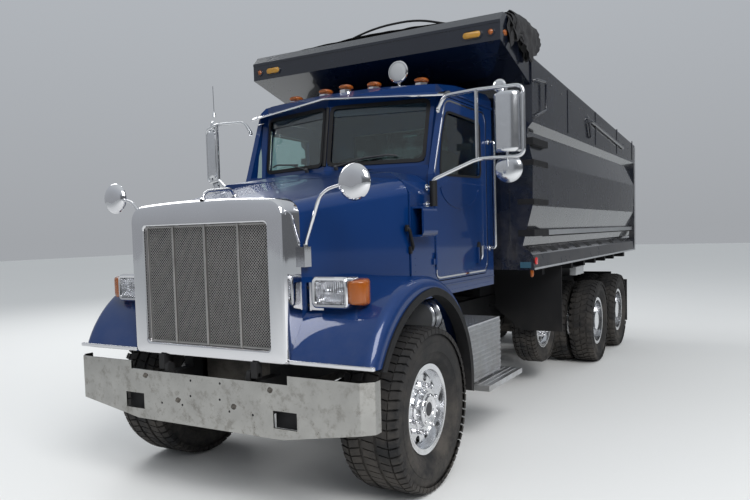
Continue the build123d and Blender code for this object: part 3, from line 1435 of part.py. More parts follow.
def bed_shell():
    outer = bed_side_outline(0)
    wall = outer + [
        (BED_HALF, BED_BOARD_FRONT),
        (BED_HALF - BED_BOARD_T, BED_BOARD_FRONT),
        (BED_HALF - BED_BOARD_T, 2700),
        (BED_WALL_X, 2600),
        (BED_WALL_X, 1387),
    ]
    side = front_plate(wall, BED_FRONT_Y, BED_REAR_Y)
    slope = side_plate(
        [
            (BED_FRONT_Y - 1, BED_BOARD_FRONT),
            (BED_REAR_Y + 1, BED_BOARD_REAR),
            (BED_REAR_Y + 1, BED_BOARD_FRONT + 1),
            (BED_FRONT_Y - 1, BED_BOARD_FRONT + 1),
        ],
        BED_WALL_X,
        BED_HALF + 1,
    )
    shape = both_sides(side - slope)
    shape += box(
        -BED_WALL_X, BED_WALL_X, BED_FRONT_Y, BED_REAR_Y, BED_FLOOR_TOP - BED_FLOOR_T, BED_FLOOR_TOP
    )
    shape += box(
        -BED_HALF + BED_BOARD_T,
        BED_HALF - BED_BOARD_T,
        BED_FRONT_Y,
        BED_FRONT_Y + HEADBOARD_T,
        2650,
        BED_BOARD_FRONT - 30,
    )
    shape += box(
        -BED_WALL_X, BED_WALL_X, BED_FRONT_Y, BED_FRONT_Y + HEADBOARD_T, BED_FLOOR_TOP, 2660
    )
    # Stub tubes on the front corners and the long rail above the notch
    for z, height in STUBS:
        stub = box(BED_WALL_X, STUB_X, BED_FRONT_Y, BED_FRONT_Y + STUB_LENGTH, z, z + height)
        shape += both_sides(stub)
    shape += both_sides(
        box(BED_WALL_X, SIDE_RAIL_X, BED_FRONT_Y + STUB_LENGTH, BED_REAR_Y, SIDE_RAIL_Z, SIDE_RAIL_Z + STUB_H)
    )
    # House around the hoist, open to the front and below
    top_y = HOIST_WALL_TOP_Y
    low_z = BED_FLOOR_TOP - BED_FLOOR_T
    low_y = top_y + HOIST_WALL_SLOPE * (HOIST_EYE_Z - low_z)
    house = [
        (BED_FRONT_Y, low_z),
        (BED_FRONT_Y, HOIST_HOUSE_TOP),
        (top_y, HOIST_HOUSE_TOP),
        (top_y, HOIST_EYE_Z),
        (low_y, low_z),
    ]
    t = HOUSE_WALL
    outer_house = [
        (BED_FRONT_Y, low_z),
        (BED_FRONT_Y, HOIST_HOUSE_TOP + t),
        (top_y + t, HOIST_HOUSE_TOP + t),
        (top_y + t, HOIST_EYE_Z),
        (low_y + t, low_z),
    ]
    shape += side_plate(outer_house, -HOIST_HOLE_HALF - t, HOIST_HOLE_HALF + t)
    hollow = side_plate(house, -HOIST_HOLE_HALF, HOIST_HOLE_HALF)
    hollow += box(
        -HOIST_HOLE_HALF, HOIST_HOLE_HALF, BED_FRONT_Y - 1, BED_FRONT_Y + 1, low_z - 1, HOIST_HOUSE_TOP
    )
    hollow += box(-HOIST_HOLE_HALF, HOIST_HOLE_HALF, BED_FRONT_Y - 1, low_y, low_z - 1, low_z + 1)
    shape -= hollow
    # Ears that straddle the hoist's eye
    for side_sign in (-1, 1):
        ear = box(
            side_sign * EYE_EAR_X,
            side_sign * HOIST_HOLE_HALF,
            HOIST_Y - 50,
            top_y,
            HOIST_EYE_Z - 60,
            HOIST_EYE_Z + 60,
        )
        shape += ear
    # Corner posts at the rear
    for side_sign in (-1, 1):
        shape += box(
            side_sign * POST_X0, side_sign * BED_HALF, BED_REAR_Y - 90, BED_REAR_Y, 1387, BED_BOARD_REAR
        )
    return shape


HOIST_HOUSE_TOP = 2900.0
HOUSE_WALL = 30.0
EYE_EAR_X = 85.0
POST_X0 = 1225.0


def bed_frame():
    """Sills, crossmembers and hinge eyes under the floor."""
    under = BED_FLOOR_TOP - BED_FLOOR_T
    inner = RAIL_OUTER_X - RAIL_W
    sill = box(inner, RAIL_OUTER_X, SILL_FRONT_Y, SILL_REAR_Y, SILL_BOTTOM, under)
    eye = rod_x(inner, RAIL_OUTER_X, BED_HINGE_Y, BED_HINGE_Z, BED_EAR_R)
    eye += side_plate(
        [
            (SILL_REAR_Y - 150, under),
            (SILL_REAR_Y - 150, BED_HINGE_Z - 40),
            (BED_HINGE_Y, BED_HINGE_Z - BED_EAR_R),
            (BED_HINGE_Y + BED_EAR_R, BED_HINGE_Z),
            (BED_HINGE_Y + BED_EAR_R, under),
        ],
        inner,
        RAIL_OUTER_X,
    )
    sill += eye
    sill += box(inner, RAIL_OUTER_X, BED_HINGE_Y, BED_REAR_Y - 100, under - 50, under)
    shape = both_sides(sill)
    for y in BED_CROSS_YS:
        shape += box(-BED_CROSS_HALF, BED_CROSS_HALF, y, y + BED_CROSS_W, BED_CROSS_BOTTOM, under)
    shape += box(-BED_CROSS_HALF, BED_CROSS_HALF, BED_REAR_Y - 110, BED_REAR_Y, BED_CROSS_BOTTOM, under)
    shape -= rod_x(-999, 999, BED_HINGE_Y, BED_HINGE_Z, BED_PIN_R + RUNNING)
    return shape


SILL_FRONT_Y = 3800.0
SILL_REAR_Y = 7860.0
BED_CROSS_HALF = 1135.0
BED_CROSS_W = 80.0
BED_CROSS_BOTTOM = 1290.0
BED_CROSS_YS = [3760.0, 4330.0, 4930.0, 5530.0, 6130.0, 6730.0, 7330.0]
save(bed_frame(), "bed_frame")


def cab_shield():
    back = BED_FRONT_Y + HEADBOARD_T
    outline = [
        (SHIELD_LIP_Y, SHIELD_LIP_Z0),
        (SHIELD_LIP_Y, SHIELD_LIP_Z1),
        (SHIELD_LIP_Y + 70, SHIELD_TOP),
        (back, SHIELD_TOP),
        (back, BED_BOARD_FRONT),
        (BED_FRONT_Y, BED_BOARD_FRONT),
        (BED_FRONT_Y, 3082),
    ]
    return side_plate(outline, -SHIELD_HALF, SHIELD_HALF)


save(cab_shield(), "cab_shield")

# Rolled tarp on the shield, soft, a hair above it
TARP_HALF = 1250.0


def tarp():
    z = SHIELD_TOP + SEAT
    outline = [(2390, z), (2520, 3680), (2800, 3740), (3150, 3785), (3300, 3700), (3330, z)]
    return side_plate(outline, -TARP_HALF, TARP_HALF)


save(tarp(), "tarp")

# Lamps on the shield's lip and the bed's rear


def bed_lamps():
    lamps = []
    for side in (-1, 1):
        lamps.append(box(side * 950, side * 1130, SHIELD_LIP_Y - 18, SHIELD_LIP_Y, 3350, 3420))
        lamps.append(rod_y(SHIELD_LIP_Y - 16, SHIELD_LIP_Y, side * 1205, 3385, 24))
        lamps.append(box(side * SHIELD_HALF, side * (SHIELD_HALF + 14), 2250, 2330, 3365, 3415))
    return Compound(lamps)


save(bed_lamps(), "bed_lamps")

# Tailgate, hung from its top corners
GATE_Y0 = BED_REAR_Y + MOVING
GATE_Y1 = GATE_Y0 + GATE_T
GATE_HINGE_Y = GATE_Y0 + GATE_T / 2
GATE_PIN_R = 20.0
GATE_RIBS = 3


def tailgate():
    shape = box(-GATE_HALF, GATE_HALF, GATE_Y0, GATE_Y1 - 30, GATE_BOTTOM, GATE_TOP)
    for i in range(GATE_RIBS + 2):
        z = GATE_BOTTOM + i * (GATE_TOP - GATE_BOTTOM - 80) / (GATE_RIBS + 1)
        shape += box(-GATE_HALF, GATE_HALF, GATE_Y1 - 31, GATE_Y1, z, z + 80)
    for side in (-1, 1):
        x0 = side * (GATE_HALF - 60)
        x1 = side * GATE_HALF
        lug = box(x0, x1, GATE_HINGE_Y - 30, GATE_HINGE_Y + 30, GATE_TOP - 1, GATE_HINGE_Z)
        lug += rod_x(x0, x1, GATE_HINGE_Y, GATE_HINGE_Z, 30)
        shape += lug - rod_x(x0 - side, x1 + side, GATE_HINGE_Y, GATE_HINGE_Z, GATE_PIN_R + RUNNING)
    return shape


save(tailgate(), "tailgate")


def gate_hangers():
    """Brackets on the rear posts with the pins that carry the tailgate."""
    pieces = []
    for side in (-1, 1):
        x0 = side * (GATE_HALF + PIVOT_SIDE)
        x1 = side * (BED_HALF - 10)
        arm = box(x0, x1, BED_REAR_Y, GATE_HINGE_Y, GATE_HINGE_Z - 30, BED_BOARD_REAR)
        arm += rod_x(x0, x1, GATE_HINGE_Y, GATE_HINGE_Z, 30)
        arm += rod_x(side * (GATE_HALF - 60), x1, GATE_HINGE_Y, GATE_HINGE_Z, GATE_PIN_R)
        pieces.append(arm)
    return Compound(pieces)


save(bed_shell() + gate_hangers(), "bed_shell")

# Telescopic hoist


def hoist_barrel():
    top = HOIST_EYE_Z - 4 * STAGE_PROUD + 10
    low = HOIST_BASE_Z - 60
    shape = rod_z(low, top, 0, HOIST_Y, BARREL_R)
    shape -= rod_z(HOIST_BASE_Z + 40, top + 1, 0, HOIST_Y, STAGE_RADII[0] + 1)
    half = RAIL_OUTER_X - RAIL_T - PIVOT_SIDE
    return shape + rod_x(-half, half, HOIST_Y, HOIST_BASE_Z, TRUNNION_R) - rod_z(
        HOIST_BASE_Z + 40, top + 1, 0, HOIST_Y, STAGE_RADII[0] + 1
    )


save(hoist_barrel(), "hoist_barrel")

for i, radius in enumerate(STAGE_RADII):
    stage_top = HOIST_EYE_Z - (3 - i) * STAGE_PROUD + 10
    stage = rod_z(HOIST_BASE_Z + 45 + 5 * i, stage_top, 0, HOIST_Y, radius)
    if i < 2:
        bore = STAGE_RADII[i + 1] + 1
        stage -= rod_z(HOIST_BASE_Z + 45 + 5 * i + 4, stage_top + 1, 0, HOIST_Y, bore)
    else:
        stage = rod_z(HOIST_BASE_Z + 45 + 5 * i, HOIST_EYE_Z - 20, 0, HOIST_Y, radius)
        stage += rod_x(-EYE_EAR_X + PIVOT_SIDE, EYE_EAR_X - PIVOT_SIDE, HOIST_Y, HOIST_EYE_Z, 50)
    save(stage, f"hoist_stage_{i + 1}")
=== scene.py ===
from math import copysign, cos, exp, hypot, pi, radians, sin

import bmesh
import bpy
from mathutils import Matrix, Vector, noise


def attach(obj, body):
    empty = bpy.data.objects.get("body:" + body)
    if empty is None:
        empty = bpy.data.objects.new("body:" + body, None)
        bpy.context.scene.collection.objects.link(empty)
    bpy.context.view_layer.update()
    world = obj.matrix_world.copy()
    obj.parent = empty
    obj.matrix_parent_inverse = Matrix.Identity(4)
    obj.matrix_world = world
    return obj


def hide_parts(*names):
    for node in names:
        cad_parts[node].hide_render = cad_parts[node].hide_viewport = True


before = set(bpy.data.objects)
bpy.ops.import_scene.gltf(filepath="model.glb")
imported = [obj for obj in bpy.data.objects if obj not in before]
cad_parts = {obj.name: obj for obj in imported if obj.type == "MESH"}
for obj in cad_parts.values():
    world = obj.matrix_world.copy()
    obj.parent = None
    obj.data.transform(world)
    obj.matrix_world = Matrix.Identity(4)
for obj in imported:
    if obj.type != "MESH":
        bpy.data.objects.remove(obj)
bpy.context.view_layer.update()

# Lengths are in metres. Stations along the truck are measured back from the bumper's face.
MID = 4.15
SIDES = (("left", 1), ("right", -1))


def st(x, y, z):
    """Point at a station, in the row's frame."""
    return Vector((x, y - MID, z))


# Materials


def node(tree, kind, give, values=None, sources=None, **settings):
    """New shader node: settings first, then input values, then incoming links. Gives one of its outputs."""
    made = tree.nodes.new("ShaderNode" + kind)
    for key, value in settings.items():
        setattr(made, key, value)
    for key, value in (values or {}).items():
        made.inputs[key].default_value = value
    for key, source in (sources or {}).items():
        tree.links.new(source, made.inputs[key])
    return made.outputs[give]


def start(name, values):
    """New material with values on its shader; gives also its tree, inputs and coordinates."""
    m = bpy.data.materials.new(name)
    m.use_nodes = True
    inputs = m.node_tree.nodes["Principled BSDF"].inputs
    for key, value in values.items():
        inputs[key].default_value = value
    return m, m.node_tree, inputs, node(m.node_tree, "TexCoord", "Object")


def blend(tree, factor, color_a, color_b):
    values = {"A": (*color_a, 1), "B": (*color_b, 1)}
    return node(tree, "Mix", "Result", values, {"Factor": factor}, data_type="RGBA")


def emboss(tree, inputs, height, strength, distance):
    bumped = node(tree, "Bump", "Normal", {"Strength": strength, "Distance": distance}, {"Height": height})
    tree.links.new(bumped, inputs["Normal"])


def material(name, color, rough, metal=0.0, coat=0.0, vary=0.12, scale=9.0, bump=0.0, bump_scale=60.0,
             dust=0.0, dust_color=(0.3, 0.27, 0.23), dust_z=1.0, spots=0.0, sheen=0.0, spec=0.5):
    """Paint, metal or plastic with colour variation, fine bump, and dust that thins out up to dust_z."""
    m, t, inputs, place = start(name, {"Metallic": metal, "Coat Weight": coat, "Coat Roughness": 0.06,
                                       "Sheen Weight": sheen, "Specular IOR Level": spec})
    patches = node(t, "TexNoise", "Fac", {"Scale": scale, "Detail": 6.0}, {"Vector": place})
    tone = blend(t, patches, [c * (1 - vary) for c in color], [min(1, c * (1 + vary)) for c in color])
    dull = node(t, "MapRange", "Result", {"To Min": rough * 0.8, "To Max": min(1, rough * 1.25)},
                {"Value": patches})
    if dust:
        height = node(t, "SeparateXYZ", "Z", None, {"Vector": place})
        fade = node(t, "MapRange", "Result", {"From Min": dust_z, "From Max": dust_z * 0.25, "To Min": 0.0,
                                              "To Max": dust}, {"Value": height})
        grime = node(t, "TexNoise", "Fac", {"Scale": 13.0 if spots else 3.5, "Detail": 10.0,
                                            "Roughness": 0.72}, {"Vector": place})
        edge = node(t, "MapRange", "Result", {"From Min": 0.5 if spots else 0.4, "From Max": 0.62,
                                              "To Max": spots or 1.0}, {"Value": grime})
        dirt = node(t, "Math", "Value", None, {0: fade, 1: edge}, operation="MULTIPLY", use_clamp=True)
        tone = node(t, "Mix", "Result", {"B": (*dust_color, 1)}, {"Factor": dirt, "A": tone},
                    data_type="RGBA")
        dull = node(t, "Mix", "Result", {"B": 0.75}, {"Factor": dirt, "A": dull})
    t.links.new(tone, inputs["Base Color"])
    t.links.new(dull, inputs["Roughness"])
    if bump:
        fine = node(t, "TexNoise", "Fac", {"Scale": bump_scale, "Detail": 4.0}, {"Vector": place})
        emboss(t, inputs, fine, bump, 0.002)
    return m


def clear_material(name, color, rough, see_through=1.0, ribs=0.0):
    """Glass or a lamp's lens, with fine ribs where asked."""
    m, t, inputs, place = start(name, {"Transmission Weight": see_through, "IOR": 1.45, "Coat Weight": 0.5})
    smear = node(t, "TexNoise", "Fac", {"Scale": 4.0, "Detail": 5.0}, {"Vector": place})
    t.links.new(blend(t, smear, [c * 0.93 for c in color], color), inputs["Base Color"])
    t.links.new(node(t, "MapRange", "Result", {"To Min": rough, "To Max": rough + 0.06}, {"Value": smear}),
                inputs["Roughness"])
    if ribs:
        emboss(t, inputs, node(t, "TexWave", "Fac", {"Scale": ribs}, {"Vector": place}), 0.5, 0.003)
    return m


def woven(name, color, scale, rough=0.9):
    """Cloth with crossing threads."""
    m = material(name, color, rough, vary=0.2, scale=12, sheen=0.06, spec=0.3)
    t = m.node_tree
    place = node(t, "TexCoord", "Object")
    warp, weft = [node(t, "TexWave", "Fac", {"Scale": scale}, {"Vector": place}, bands_direction=axis)
                  for axis in "XZ"]
    threads = node(t, "Math", "Value", None, {0: warp, 1: weft}, operation="ADD")
    emboss(t, t.nodes["Principled BSDF"].inputs, threads, 0.4, 0.001)
    return m


ROAD_DUST = (0.12, 0.105, 0.09)
BLUE = material("blue_paint", (0.0016, 0.026, 0.12), 0.36, metal=0.15, coat=0.75, vary=0.12, scale=2.0,
                bump=0.03, bump_scale=220, dust=0.12, dust_z=1.5, spec=0.1)
BLACK = material("black_paint", (0.004, 0.006, 0.013), 0.26, coat=1.0, vary=0.2, scale=2.5, bump=0.05,
                 bump_scale=14, dust=0.22, dust_z=2.4, spec=0.3)
FRAME_BLACK = material("frame_black", (0.007, 0.0075, 0.009), 0.6, vary=0.3, scale=6, bump=0.2, dust=0.3,
                       dust_z=1.2, dust_color=(0.1, 0.09, 0.08), spec=0.3)
CHROME = material("chrome", (0.7, 0.7, 0.72), 0.06, metal=1.0, vary=0.05, scale=3, bump=0.02, bump_scale=18)
BUMPER = material("bumper_chrome", (0.36, 0.355, 0.34), 0.07, metal=1.0, vary=0.28, scale=6, bump=0.55,
                  bump_scale=7, dust=0.6, dust_z=2.0, dust_color=(0.1, 0.085, 0.06), spots=0.6)
STEEL = material("stainless", (0.66, 0.67, 0.69), 0.16, metal=1.0, vary=0.06, scale=20, bump=0.05,
                 bump_scale=120)
MESH_STEEL = material("grille_steel", (0.36, 0.35, 0.34), 0.35, metal=0.9, vary=0.2, scale=14, bump=0.1)
ALLOY = material("polished_alloy", (0.82, 0.83, 0.85), 0.13, metal=1.0, vary=0.06, scale=30, bump=0.04,
                 bump_scale=150, dust=0.35, dust_z=1.0, dust_color=(0.35, 0.32, 0.28))
RIBBED = material("ribbed_alloy", (0.62, 0.63, 0.65), 0.32, metal=0.95, vary=0.12, scale=16, bump=0.15,
                  dust=0.5, dust_z=1.1)
TYRE = material("tyre", (0.018, 0.018, 0.019), 0.78, vary=0.3, scale=18, bump=0.35, bump_scale=240, dust=0.5,
                dust_z=1.3, dust_color=ROAD_DUST, spec=0.3)
RUBBER = material("rubber", (0.007, 0.007, 0.008), 0.6, vary=0.25, scale=12, bump=0.15, dust=0.18, dust_z=1.0,
                  dust_color=ROAD_DUST, spec=0.3)
PLASTIC = material("plastic", (0.035, 0.036, 0.04), 0.6, vary=0.2, scale=14, bump=0.3, bump_scale=300)
# Near-black matte for painted shade: dark sheets in openings, in holes and behind the grille
PAINTED_SHADE = material("painted_shade", (0.006, 0.006, 0.007), 0.8, vary=0.3, scale=10, bump=0.1)
IRON = material("iron", (0.045, 0.042, 0.04), 0.62, metal=0.5, vary=0.35, scale=16, bump=0.4, dust=0.6,
                dust_z=1.6)
# Radiator core, near black; this darkness also stands in for the shade behind the grille, so it is partly
# painted shade
RADIATOR = material("radiator_core", (0.008, 0.008, 0.009), 0.7, metal=0.5, vary=0.4, scale=60, bump=0.6,
                    bump_scale=160)
NUT = material("nut_chrome", (0.84, 0.84, 0.86), 0.08, metal=1.0, vary=0.05, scale=60, bump=0.02)
GLASS = clear_material("window_glass", (0.62, 0.8, 0.78), 0.0)
# Darker glass: painted shade under the visor, across the top of the windscreen
VISOR_SHADE_GLASS = clear_material("visor_shade_glass", (0.04, 0.07, 0.09), 0.02, see_through=0.6)
LENS = clear_material("clear_lens", (0.97, 0.98, 1.0), 0.02, ribs=22)
AMBER = clear_material("amber_lens", (0.46, 0.115, 0.008), 0.12, see_through=0.35, ribs=60)
YELLOW = clear_material("yellow_lens", (0.62, 0.31, 0.03), 0.12, see_through=0.3, ribs=60)
RED = clear_material("red_lens", (0.75, 0.02, 0.02), 0.12, see_through=0.3, ribs=60)
SEAT = woven("seat_cloth", (0.045, 0.047, 0.055), 240)
TARP = woven("tarp_cloth", (0.012, 0.012, 0.014), 300, rough=0.7)
PLATE = material("plate_paint", (0.03, 0.085, 0.125), 0.4, vary=0.15, scale=30, bump=0.05)
WHITE = material("white_enamel", (0.36, 0.37, 0.38), 0.25, coat=0.6, vary=0.05, scale=8, bump=0.03)
MIRROR = material("mirror_glass", (0.88, 0.9, 0.92), 0.02, metal=1.0, vary=0.02, scale=5)

# Slot of a piece, where it isn't called the same as the piece's material
SLOTS = {"nut_chrome": "alloy", "polished_alloy": "alloy", "amber_lens": "lamp_amber",
         "yellow_lens": "lamp_amber", "red_lens": "lamp_amber", "clear_lens": "glass", "visor_shade_glass": "glass",
         "mirror_glass": "mirror_steel", "white_enamel": "mirror_steel", "stainless": "mirror_steel",
         "plate_paint": "plastic", "painted_shade": "plastic"}

# Mesh helpers: each adds to a bmesh, and piece() turns that into an object on a body

FAR, BOTH = (False, True), (True, True)  # which ends of a skinned form are closed
UP, OUT, AHEAD, BACK = (0, 0, 1), (1, 0, 0), (0, -1, 0), (0, 1, 0)


def turns(n):
    """Angles of n even steps round a circle."""
    return [2 * pi * i / n for i in range(n)]


def face(bm, points):
    bm.faces.new([bm.verts.new(p) for p in points])


def block(bm, x0, x1, y0, y1, z0, z1):
    vs = [bm.verts.new(st(x, y, z)) for x in (x0, x1) for y in (y0, y1) for z in (z0, z1)]
    for q in ((0, 1, 3, 2), (4, 6, 7, 5), (0, 4, 5, 1), (2, 3, 7, 6), (0, 2, 6, 4), (1, 5, 7, 3)):
        bm.faces.new([vs[i] for i in q])


def blocks(*boxes, both=True):
    """New mesh of blocks, with their mirror images where both sides have them."""
    bm = new()
    for box in boxes:
        block(bm, *box)
    if both:
        mirrored(bm)
    return bm


def loops(bm, rings, caps=(False, False), closed=True):
    """Skin over rings with equal numbers of points."""
    made = [[bm.verts.new(p) for p in ring] for ring in rings]
    n = len(rings[0])
    for a, b in zip(made, made[1:]):
        for i in range(n if closed else n - 1):
            j = (i + 1) % n
            bm.faces.new((a[i], a[j], b[j], b[i]))
    if caps[0]:
        bm.faces.new(list(reversed(made[0])))
    if caps[1]:
        bm.faces.new(made[-1])
    return made


def basis(axis):
    axis = axis.normalized()
    side = axis.orthogonal().normalized()
    return axis, side, axis.cross(side)


def circle(centre, u, v, r, n):
    """Ring of n points about a centre, in the plane of u and v."""
    return [centre + (u * cos(w) + v * sin(w)) * r for w in turns(n)]


def lathe(bm, centre, axis, profile, seg=32, caps=(False, False)):
    """Turned form: profile of (distance along axis, radius)."""
    axis, u, v = basis(Vector(axis))
    loops(bm, [circle(centre + axis * a, u, v, r, seg) for a, r in profile], caps)


def bend(a, b, c, radius):
    """Curve that replaces the corner b between a and c."""
    ab, cb = a - b, c - b
    cut = min(radius, ab.length * 0.45, cb.length * 0.45)
    p, q = b + ab.normalized() * cut, b + cb.normalized() * cut
    return [(1 - s) ** 2 * p + 2 * s * (1 - s) * b + s * s * q for s in [i / 5 for i in range(6)]]


def tube(bm, points, r, radius=0.05, seg=12):
    """Round tube along a polyline with rounded corners."""
    pts = [Vector(p) for p in points]
    path = pts[:1]
    for corner in zip(pts, pts[1:], pts[2:]):
        path += bend(*corner, radius)
    path.append(pts[-1])
    _, u, v = basis(path[1] - path[0])
    rings = []
    for before, p, after in zip(path[:1] + path, path, path[1:] + path[-1:]):
        t = (after - before).normalized()
        u = (u - t * u.dot(t)).normalized()
        rings.append(circle(p, u, t.cross(u), r, seg))
    loops(bm, rings, BOTH)


def dome(bm, centre, axis, r, h, seg):
    """Low dome: a bolt's or a rivet's head."""
    lathe(bm, centre, axis, [(0, r), (h * 0.6, r * 0.8), (h, r * 0.35)], seg, FAR)


def rivet(bm, centre, axis):
    dome(bm, centre, axis, 0.005, 0.003, 8)


def mirrored(bm):
    """Add the mirror image across the middle plane."""
    got = bmesh.ops.duplicate(bm, geom=bm.verts[:] + bm.edges[:] + bm.faces[:])["geom"]
    for v in got:
        if isinstance(v, bmesh.types.BMVert):
            v.co.x = -v.co.x
    bmesh.ops.reverse_faces(bm, faces=[f for f in got if isinstance(f, bmesh.types.BMFace)])


def piece(name, bm, mat, body="chassis", replaces=None, slot=None, bevel=0.0, sharp=35, subdiv=0):
    """Object from a bmesh: its look, the body it rides on, and the CAD node it stands for; its slot is not
    used.
    """
    bmesh.ops.recalc_face_normals(bm, faces=bm.faces[:])
    me = bpy.data.meshes.new(name)
    bm.to_mesh(me)
    bm.free()
    o = bpy.data.objects.new(name, me)
    bpy.context.scene.collection.objects.link(o)
    me.materials.append(mat)
    for p in me.polygons:
        p.use_smooth = True
    if bevel:
        mod = o.modifiers.new("edges", "BEVEL")
        mod.width = bevel
        mod.segments = 2
        mod.limit_method = "ANGLE"
        mod.angle_limit = radians(40)
        mod.harden_normals = True
    if subdiv:
        mod = o.modifiers.new("smooth", "SUBSURF")
        mod.levels = subdiv
        mod.render_levels = subdiv
    else:
        me.set_sharp_from_angle(angle=radians(sharp))
    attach(o, body)
    look = mat.name.split(".")[0]
    slot or SLOTS.get(look, look)
    if replaces:
        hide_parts(replaces)
    return o


def new():
    return bmesh.new()


def dress(node, mat):
    """A better material on a kept CAD node."""
    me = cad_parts[node].data
    me.materials.clear()
    me.materials.append(mat)


for looks, nodes in (
        (BLUE, ("hood", "fenders", "cab_shell", "door_left", "door_right", "air_scoops")),
        (BLACK, ("bed_shell", "cab_shield", "tailgate")),
        (FRAME_BLACK, ("frame", "bed_frame", "springs", "hoist_barrel")),
        (IRON, ("front_axle", "drive_axles", "pusher_axle", "engine_block", "knuckle_left", "knuckle_right")),
        (RUBBER, ("mud_flaps", "fender_flares")),
        (RIBBED, ("steps", "tanks")),
        (STEEL, ("exhaust", "hoist_stage_1", "hoist_stage_2", "hoist_stage_3")),
        (GLASS, ("cab_glass", "door_glass_left", "door_glass_right")),
        (BUMPER, ("front_bumper",)), (RADIATOR, ("radiator",)), (PLASTIC, ("dash",))):
    for n in nodes:
        dress(n, looks)


# Tyres: a turned carcass with sidewall rings, and tread blocks over it

RIM_FLANGE = 0.306


def carcass(bm, cx, cy, cz, radius, width, rim_w):
    """Turned tyre body with rings on its sidewalls."""
    half = width / 2
    wall = radius - RIM_FLANGE
    side = [(rim_w / 2 - 0.02, RIM_FLANGE - 0.018), (rim_w / 2 - 0.01, RIM_FLANGE + 0.002),
            (rim_w / 2, RIM_FLANGE + 0.01), (0.9 * half, RIM_FLANGE + 0.16 * wall),
            (0.915 * half, RIM_FLANGE + 0.19 * wall), (0.965 * half, RIM_FLANGE + 0.33 * wall),
            (0.985 * half, RIM_FLANGE + 0.34 * wall), (half, RIM_FLANGE + 0.46 * wall),
            (0.995 * half, RIM_FLANGE + 0.58 * wall), (0.975 * half, RIM_FLANGE + 0.59 * wall),
            (0.955 * half, RIM_FLANGE + 0.72 * wall), (0.9 * half, RIM_FLANGE + 0.86 * wall),
            (0.8 * half, radius - 0.017), (0.5 * half, radius - 0.013), (0.15 * half, radius - 0.012), ]
    prof = [(-a, r) for a, r in side] + [(a, r) for a, r in reversed(side)]
    lathe(bm, st(cx, cy, cz), OUT, prof, 96)


def tread(bm, cx, cy, cz, radius, width, rows, count):
    """Tread blocks: rows of (middle, half width, slant, share of pitch, drop at the outer edge)."""
    half = width / 2
    for mid, hw, slant, share, drop in rows:
        for k in range(count):
            base = 2 * pi * (k + (0.5 if mid > 0 else 0.0)) / count
            step = 2 * pi / count * share / 2
            verts = []
            for r_off, grow in ((-0.022, 1.12), (0, 1.0)):
                for s in (-1, 1):
                    for q in (-1, 0, 1):
                        a = (mid + s * hw * grow) * half
                        w = base + q * step * grow + slant * s
                        edge = drop if abs(mid + s * hw) > 0.8 else 0.0
                        r = radius + r_off - edge - (0.012 if edge and r_off < 0 else 0)
                        verts.append(bm.verts.new(st(cx + a, cy + r * cos(w), cz + r * sin(w))))
            for q in ((6, 7, 10, 9), (7, 8, 11, 10), (0, 3, 9, 6), (2, 8, 11, 5), (0, 6, 7, 1), (1, 7, 8, 2),
                      (3, 4, 10, 9), (4, 5, 11, 10)):
                bm.faces.new([verts[i] for i in q])


HIGHWAY = [(-0.86, 0.13, 0.01, 0.74, 0.016), (-0.5, 0.17, -0.012, 0.82, 0), (0, 0.2, 0.014, 0.84, 0),
           (0.5, 0.17, 0.012, 0.82, 0), (0.86, 0.13, -0.01, 0.74, 0.016)]
LUGS = [(-0.8, 0.2, 0.02, 0.62, 0.018), (-0.26, 0.22, -0.03, 0.66, 0), (0.26, 0.22, -0.03, 0.66, 0),
        (0.8, 0.2, 0.02, 0.62, 0.018)]


# Wheels: tyre radius or height of the axle, station, and distance of the tyre's middle from the truck's
FRONT_R, FRONT_Y, FRONT_X = 0.565, 0.895, 1.029
PUSHER_R, PUSHER_Z, PUSHER_Y, PUSHER_X = 0.475, 0.695, 4.6, 0.79
DRIVE_R, DRIVE_YS, OUTER_X, INNER_X = 0.533, (("front", 6.034), ("rear", 7.376)), 1.085, 0.75
BOLT_CIRCLE, HUB_R = 0.1675, 0.121


def tyre_piece(name, xs, cy, cz, radius, width, rim_w, rows, count, body):
    """Detailed tyres at the distances xs, in place of the CAD tyre of that name."""
    bm = new()
    for cx in xs:
        carcass(bm, cx, cy, cz, radius, width, rim_w)
        tread(bm, cx, cy, cz, radius, width, rows, count)
    piece(name + "_detail", bm, TYRE, body, replaces=name, sharp=50)


# Wheels: rim lips, nuts and hub covers added over the CAD wheels, which keep their hand holes


